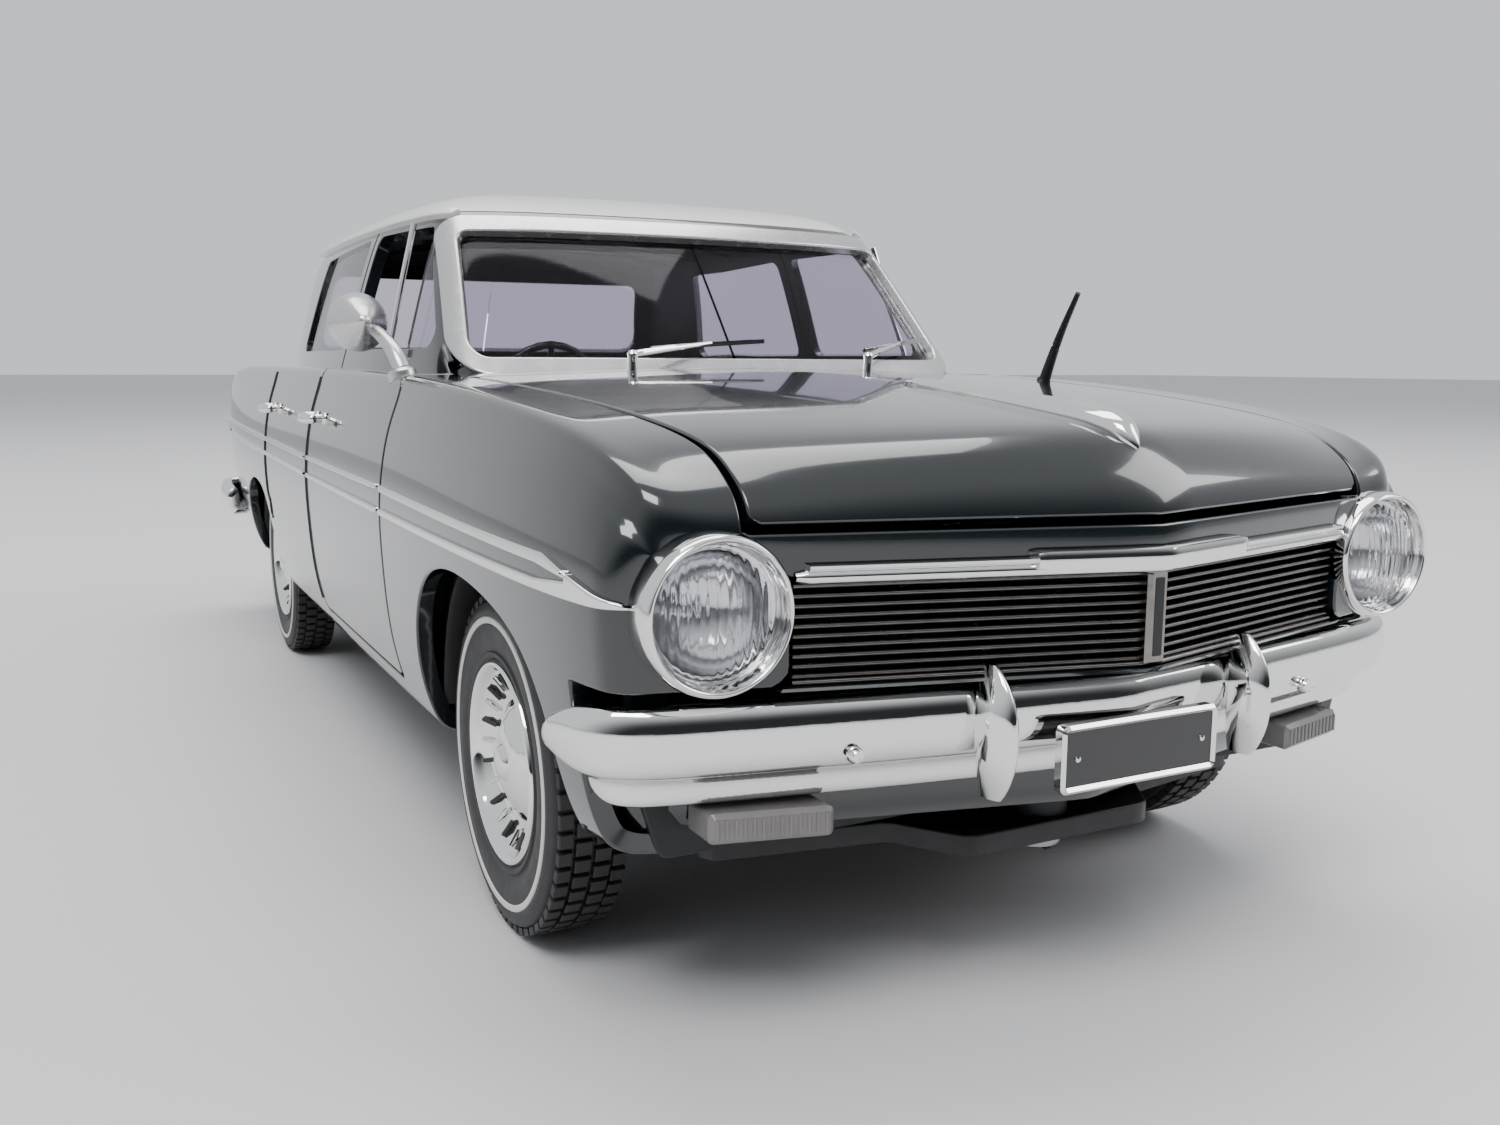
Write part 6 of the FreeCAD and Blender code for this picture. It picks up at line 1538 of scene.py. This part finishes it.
for k in range(4):
    a = k * math.pi / 2 + 0.3
    c, sn = math.cos(a), math.sin(a)
    out, tan = np.array([c, 0, sn]), np.array([-sn, 0, c])
    blade = []
    for r, w, twist in ((0.8, 0.45, 0.1), (2.4, 0.75, 0.28), (4.3, 0.95, 0.2)):
        mid = np.array([0, -58.15, 17.5]) + out * r
        blade.append([mid - tan * w + np.array([0, -twist, 0]), mid + tan * w + np.array([0, twist, 0]),
                      mid + tan * w + np.array([0, twist + 0.12, 0]),
                      mid - tan * w + np.array([0, -twist + 0.12, 0])])
    engine.add(np.array(blade).reshape(-1, 3), grid_faces(3, 4, True) + [[3, 2, 1, 0], [8, 9, 10, 11]],
               mark=2)
engine.make("engine", "shell", "engine_paint", [ENGINE, BLACK, SILVER, STEEL], ["engine_block"])

cover = Build()
cover.add(*slab([(-2.2, 20.5), (2.2, 20.5), (2.15, 22.2), (1.5, 23.3), (-1.5, 23.3), (-2.15, 22.2)], "Y",
                -56.2, -39.6, 0.45, 0.5), mark=0)
for k in range(9):
    y = -54.8 + k * 1.75
    if abs(y + 53.5) > 1.1:
        cover.add(*tube([(-1.5, y, 23.32), (1.5, y, 23.32)], 0.16, 8), mark=0)
cover.add(*lathe([(0, 0.95), (0.3, 0.95), (0.6, 0.85), (0.75, 0.6), (0.8, 0.02)], (0, -53.5, 23.2),
                 (0, 0, 1), 24), mark=1)
for y in (-50.0, -45.0, -41.5):
    cover.add(*lathe([(0, 0.4), (0.25, 0.36), (0.35, 0.02)], (0, y, 23.3), (0, 0, 1), 6), mark=1)
cover.make("valve_cover", "shell", "silver_paint", [SILVER, CHROME], ["rocker_cover"])

cleaner = Build()
cleaner.add(*lathe(smooth_profile([(0, 0.02), (0.0, 3.0), (0.3, 3.4), (1.9, 3.4), (2.2, 3.15), (2.35, 2.4),
                                   (2.3, 0.9), (2.6, 0.6),
                                   (2.75, 0.3), (2.75, 0.02)], 0.2), (4.2, -47.5, 24.1), (0, 0, 1), 56),
                                   mark=0)
cleaner.add(*lathe([(0.75, 3.42), (0.8, 3.5), (1.0, 3.5), (1.05, 3.42)], (4.2, -47.5, 24.1), (0, 0, 1), 56),
            mark=1)
cleaner.add(*sweep([(4.2, -50.4, 25.2), (4.2, -52.6, 25.1)],
                   [(-1.1, -0.7), (-1.1, 0.7), (1.1, 0.7), (1.1, -0.7)]), mark=0)
cleaner.add(*lathe([(0, 1.5), (0.4, 1.4), (0.6, 1.1), (4.6, 1.1)], (5.4, -47.5, 19.5), (0, 0, 1), 28),
            mark=2)
cleaner.add(*box((4.4, -49.0, 16.9), (6.6, -46.0, 20.3), 0.3), mark=2)
cleaner.add(*lathe([(0, 0.7), (0.5, 0.68), (0.7, 0.4), (0.75, 0.02)], (6.5, -47.5, 18.6), (1, 0, 0), 20),
            mark=2)
cleaner.make("air_filter", "shell", "black_plastic", [BLACK, CHROME, STEEL], ["air_cleaner"])

core = Build()
core.add(*box((-9.0, -60.3, 11.0), (9.0, -59.3, 22.6), 0.12), mark=0)
for x in np.arange(-8.7, 8.8, 0.58):
    for y in (-60.34, -59.26):
        core.add(*box((x - 0.1, y - 0.08, 11.4), (x + 0.1, y + 0.08, 21.9), 0.03), mark=1)
core.add(*slab([(-60.8, 21.8), (-58.9, 21.8), (-58.9, 23.4), (-59.2, 23.8), (-60.5, 23.8), (-60.8, 23.4)],
               "X", -9.0, 9.0, 0.3, 0.3), mark=0)
core.add(*lathe([(0, 0.7), (0.2, 0.95), (0.45, 0.95), (0.6, 0.6), (0.62, 0.02)], (3.5, -59.8, 23.8),
                (0, 0, 1), 8), mark=2)
core.add(*tube(spline_line([(-4.0, -59.0, 23.0), (-4.0, -57.5, 23.1), (-3.2, -56.6, 22.3),
                            (-2.2, -56.2, 20.8)], 14), 0.6, 12), mark=0)
for low in (-8.6, 7.4):
    core.add(*box((low, -60.3, 8.9), (low + 1.2, -59.3, 11.1), 0.12), mark=0)
core.make("cooling_core", "shell", "black_plastic", [BLACK, GRAPHITE, CHROME], ["radiator"])

cell = Build()
cell.add(*box((11.5, -57.5, 15.9), (16.5, -51.5, 20.4), 0.25), mark=0)
cell.add(*box((11.3, -57.7, 20.3), (16.7, -51.3, 21.2), 0.25), mark=0)
for k in range(6):
    cell.add(*lathe([(0, 0.38), (0.22, 0.36), (0.3, 0.02)], (12.6, -56.7 + k * 0.9, 21.2), (0, 0, 1), 12),
             mark=2)
for y in (-56.4, -52.6):
    cell.add(*lathe([(0, 0.6), (0.3, 0.55), (0.32, 0.42), (0.8, 0.38), (0.85, 0.02)], (14.6, y, 21.15),
                    (0, 0, 1), 16), mark=1)
cell.add(*tube(spline_line([(14.6, -52.6, 21.8), (14.0, -50.0, 22.2), (10.0, -48.0, 19.0),
                            (8.5, -46.0, 14.0)], 16), 0.25, 8), mark=3)
cell.add(*box((11.0, -58.0, 8.9), (17.0, -51.0, 16.0), 0.2), mark=0)
cell.add(*box((12.2, -58.0, 15.9), (12.6, -51.0, 16.2), 0.05), mark=1)
cell.make("battery_unit", "shell", "black_plastic", [BLACK, STEEL, WHITEWALL, ENGINE], ["battery"])

# ---------------------------------------------------------------------------------------------
# Underside and boot
# ---------------------------------------------------------------------------------------------

PLATE_OUTLINE = [(6.0, -64.4), (8.5, -60.6), (18.2, -58.9), (18.2, -32.4), (23.2, -30.8), (23.2, 25.6),
                 (18.2, 26.6),
                 (18.2, 51.4), (22.2, 52.6), (22.2, 65.4)]
PLATE_OUTLINE = PLATE_OUTLINE + [(-x, y) for x, y in reversed(PLATE_OUTLINE)]


def holed_sheet(build, outline, holes, low, high, mark, step=0.55):
    """A flat sheet with openings: cut from a fine grid by distance, as a closed slab."""
    xs = np.arange(-24.2, 24.21, step)
    ys = np.arange(-65.4, 66.4, step)
    grid_p = np.array([[(x, y, high) for x in xs] for y in ys])
    grid_n = np.broadcast_to([0.0, 0.0, 1.0], grid_p.shape).copy()

    def keep(p):
        fields = [-outline_distance(p[:, 0], p[:, 1], outline, 0.4)]
        fields += [hole(p) for hole in holes]
        return np.minimum.reduce(fields)

    verts, norms, faces, _ = plate_mesh(grid_p, grid_n, keep, 0.12, high - low)
    build.add(verts, faces, mark)


def slot_hole(x0, y0, x1, y1):
    """Distance from a rectangular opening."""
    outline = [(x0, y0), (x1, y0), (x1, y1), (x0, y1)]
    return lambda p: outline_distance(p[:, 0], p[:, 1], outline, 0.3)


def round_hole(x, y, radius):
    """Distance from a round opening."""
    return lambda p: np.hypot(p[:, 0] - x, p[:, 1] - y) - radius


under = Build()
plate_holes = [slot_hole(-13.8, axle - 3.4, 13.8, axle + 3.4) for axle in (-44.6, 38.8)]
plate_holes += [slot_hole(-3.2, -57.0, 3.2, -49.0), round_hole(0, -34.0, 1.25), round_hole(0, 26.0, 1.25)]
holed_sheet(under, PLATE_OUTLINE, plate_holes, 7.8, 8.9, 0)
for x in (-15.6, 15.6):
    under.add(*box((x - 0.8, -30.4, 7.45), (x + 0.8, 25.2, 7.9), 0.15))
for y in (-22.0, -10.0, 4.0, 18.0):
    under.add(*box((-21.6, y - 0.5, 7.45), (21.6, y + 0.5, 7.9), 0.15))
under.add(*box((-14.4, 53.6, 7.4), (-2.6, 62.6, 7.9), 0.25))
for k in range(5):
    under.add(*box((-13.6, 54.6 + 1.8 * k, 7.2), (-3.4, 55.1 + 1.8 * k, 7.5), 0.1))
for y in (-34.0, 26.0):
    under.add(*lathe(smooth_profile([(7.8, 1.25), (7.8, 2.3), (8.0, 2.6), (12.6, 2.6), (12.8, 2.45),
                                     (12.8, 1.25), (7.8, 1.25)], 0.1),
                     (0, y, 0), (0, 0, 1), 40))
for axle in (-44.6, 38.8):
    for low in (-17.8, 13.8):
        saddle = [(axle - 2.4, 8.0), (axle + 2.4, 8.0), (axle + 2.4, 11.6), (axle + 1.4, 12.6),
                  (axle - 1.4, 12.6), (axle - 2.4, 11.6)]
        under.add(*slab(saddle, "X", low, low + 4.0, 0.25, 0.3))
under.make("chassis_pan", "shell", "black_plastic", BLACK, ["chassis_plate"])

screws = Build()
for y in (-62.2, 64.2):
    screws.add(*lathe([(6.95, 0.02), (6.92, 0.9), (7.1, 1.35), (7.45, 1.5), (7.8, 1.5), (7.8, 0.8)],
                      (0, y, 0), (0, 0, 1), 32), mark=0)
    screws.add(*box((-1.25, y - 0.2, 6.86), (1.25, y + 0.2, 7.0), 0.04), mark=1)
    screws.add(*box((-0.2, y - 1.25, 6.86), (0.2, y + 1.25, 7.0), 0.04), mark=1)
screws.make("base_screws", "shell", "steel", [STEEL, BLACK], ["chassis_screws"])

gas = Build()
gas.add(*tube(spline_line([(-8.5, -30.0, 7.4), (-8.5, -12.0, 7.3), (-8.5, 4.0, 7.2), (-8.5, 20.0, 7.2),
                           (-8.5, 32.0, 7.4)], 30), 0.5, 12))
gas.add(*lathe(smooth_profile([(5.0, 0.5), (5.6, 0.9), (6.2, 1.25), (17.6, 1.25), (18.2, 0.9), (18.8, 0.5)],
                              0.2), (-8.5, 0, 7.05), (0, 1, 0), 28))
gas.add(*tube(spline_line([(-8.5, 45.5, 7.3), (-8.5, 55.0, 7.2), (-8.6, 62.0, 7.2), (-8.8, 67.6, 7.0)], 20),
              0.5, 12))
gas.add(*lathe(smooth_profile([(45.6, 0.5), (46.2, 0.8), (46.6, 1.0), (51.4, 1.0), (51.8, 0.8), (52.4, 0.5)],
                              0.15), (-8.5, 0, 7.1), (0, 1, 0), 24))
for y in (7.4, 16.6, 47.4, 50.8):
    gas.add(*lathe([(-0.15, 1.2), (-0.15, 1.36), (0.15, 1.36), (0.15, 1.2)] if y < 20 else
                   [(-0.12, 0.95), (-0.12, 1.1), (0.12, 1.1), (0.12, 0.95)], (-8.5, y, 7.08), (0, 1, 0), 24))
gas.make("exhaust_run", "shell", "silver_paint", SILVER, ["exhaust"])

casing = Build()
casing.add(*lathe(smooth_profile([(-13.8, 0.84), (-13.8, 1.4), (-13.2, 1.5), (-12.8, 1.3), (-4.2, 1.4),
                                  (-2.6, 2.4), (-1.6, 3.0),
                                  (1.6, 3.0), (2.6, 2.4), (4.2, 1.4), (12.8, 1.3), (13.2, 1.5), (13.8, 1.4),
                                  (13.8, 0.84),
                                  (-13.8, 0.84)], 0.35), (0, 38.8, 9.85), (1, 0, 0), 44))
for k in range(8):
    a = k * math.pi / 4
    casing.add(*lathe([(0, 0.32), (0.25, 0.3), (0.35, 0.02)],
                      (math.cos(a) * 2.2, 41.3, 9.85 + math.sin(a) * 2.2 * 0.9), (0, 1, 0), 6))
casing.make("axle_casing", "shell", "engine_paint", BLACK, ["rear_axle_housing"])

liners = Build()
for arch_poles, axle in ((FRONT_ARCH, -44.6), (REAR_ARCH, 38.8)):
    rim = spline_line(arch_poles, 48)
    rim = rim[rim[:, 1] > 9.2]
    away = unit(rim - np.array([np.mean(rim[:, 0]), 9.85]))
    rows = []
    for x, lift in ((18.3, 0.75), (18.6, 0.85), (24.4, 0.85), (24.7, 0.75), (24.7, 0.35), (24.4, 0.25),
                    (18.6, 0.25)):
        rows.append([(x, y + a * lift, z + b * lift) for (y, z), (a, b) in zip(rim, away)])
    rows = np.array(rows)
    n = rows.shape[1]
    liners.add(rows.reshape(-1, 3), grid_faces(len(rows), n, False, True)
               + [[i * n for i in range(len(rows))], [i * n + n - 1 for i in reversed(range(len(rows)))]])
    outline = [(y, z) for y, z in rim + away * 0.7]
    inner = [(axle + math.cos(t) * 1.4, 9.85 + math.sin(t) * 1.4) for t in np.linspace(math.pi, 0,
                                                                                       len(outline))]
    wall = np.array([[(18.3, a, b) for a, b in outline], [(18.9, a, b) for a, b in outline],
                     [(18.9, a, b) for a, b in inner], [(18.3, a, b) for a, b in inner]])
    liners.add(wall.reshape(-1, 3), grid_faces(4, n, False, True)
               + [[i * n for i in range(4)], [i * n + n - 1 for i in reversed(range(4))]])
liners.mirror().make("arch_liners", "shell", "black_plastic", BLACK, ["wheel_wells"])

trunk = Build()
trunk_outline = [(-17.6, 43.0), (17.6, 43.0), (17.6, 51.8), (21.0, 51.8), (21.0, 65.3), (-21.0, 65.3),
                 (-21.0, 51.8), (-17.6, 51.8)]
trunk.add(*slab(trunk_outline, "Z", 13.4, 14.2, 0.15, 0.3), mark=0)
for x in np.arange(-16.4, 16.5, 1.64):
    if abs(x) < 5.0 or abs(x) > 11.0:
        trunk.add(*box((x - 0.3, 44.0, 14.15), (x + 0.3, 62.0, 14.4), 0.08), mark=0)
for x in (-8.0, 8.0):
    trunk.add(*box((x - 2.7, 46.0, 14.15), (x + 2.7, 60.0, 14.32), 0.08), mark=1)
trunk.make("trunk_floor", "shell", "black_plastic", [CABIN, BLACK], ["boot_floor"])

# ---------------------------------------------------------------------------------------------
# Floor and light
# ---------------------------------------------------------------------------------------------

floor_mesh = bpy.data.meshes.new("floor")
floor_mesh.from_pydata([(-3, -3, 0), (3, -3, 0), (3, 3, 0), (-3, 3, 0)], [], [(0, 1, 2, 3)])
floor = bpy.data.objects.new("floor", floor_mesh)
bpy.context.scene.collection.objects.link(floor)
floor_mesh.materials.append(material("floor_paper", (0.62, 0.62, 0.63), 0.0, 0.75, bump=(400, 0.05, 1e-4),
                                     vary=(30, (0.60, 0.60, 0.61)), rough_vary=0.05))

world = bpy.data.worlds.new("studio")
bpy.context.scene.world = world
world.use_nodes = True
sky, sky_links = world.node_tree.nodes, world.node_tree.links
direction = sky.new("ShaderNodeSeparateXYZ")
sky_links.new(sky.new("ShaderNodeTexCoord").outputs["Generated"], direction.inputs["Vector"])
climb = sky.new("ShaderNodeMath")           # pale ahead of the camera and overhead, dark behind it
climb.operation = "MULTIPLY_ADD"
climb.inputs[1].default_value = 1.3
sky_links.new(direction.outputs["Z"], climb.inputs[0])
sky_links.new(direction.outputs["Y"], climb.inputs[2])
fade = sky.new("ShaderNodeMapRange")
fade.interpolation_type = "SMOOTHSTEP"
fade.inputs["From Min"].default_value = -0.75
fade.inputs["From Max"].default_value = 0.45
sky_links.new(climb.outputs["Value"], fade.inputs["Value"])
shades = sky.new("ShaderNodeMix")
shades.data_type = "RGBA"
shades.inputs["A"].default_value = (0.030, 0.032, 0.036, 1)
shades.inputs["B"].default_value = (0.84, 0.86, 0.89, 1)
sky_links.new(fade.outputs["Result"], shades.inputs["Factor"])
sky_links.new(shades.outputs["Result"], sky["Background"].inputs["Color"])
sky["Background"].inputs["Strength"].default_value = 0.95


def softbox(name, at, look_at, wide, tall, power):
    """A rectangular lamp that faces a point."""
    light = bpy.data.lights.new(name, "AREA")
    light.shape = "RECTANGLE"
    light.size, light.size_y = wide, tall
    light.energy = power
    lamp = bpy.data.objects.new(name, light)
    bpy.context.scene.collection.objects.link(lamp)
    lamp.location = at
    lamp.rotation_euler = (Vector(look_at) - Vector(at)).to_track_quat("-Z", "Y").to_euler()


softbox("key", (-0.25, -0.30, 0.55), (0, 0, 0.02), 0.35, 0.25, 3.0)
softbox("fill", (0.45, -0.25, 0.35), (0, 0, 0.02), 0.3, 0.3, 1.2)
softbox("top", (0.05, 0.15, 0.6), (0, 0, 0.03), 0.5, 0.35, 2.5)
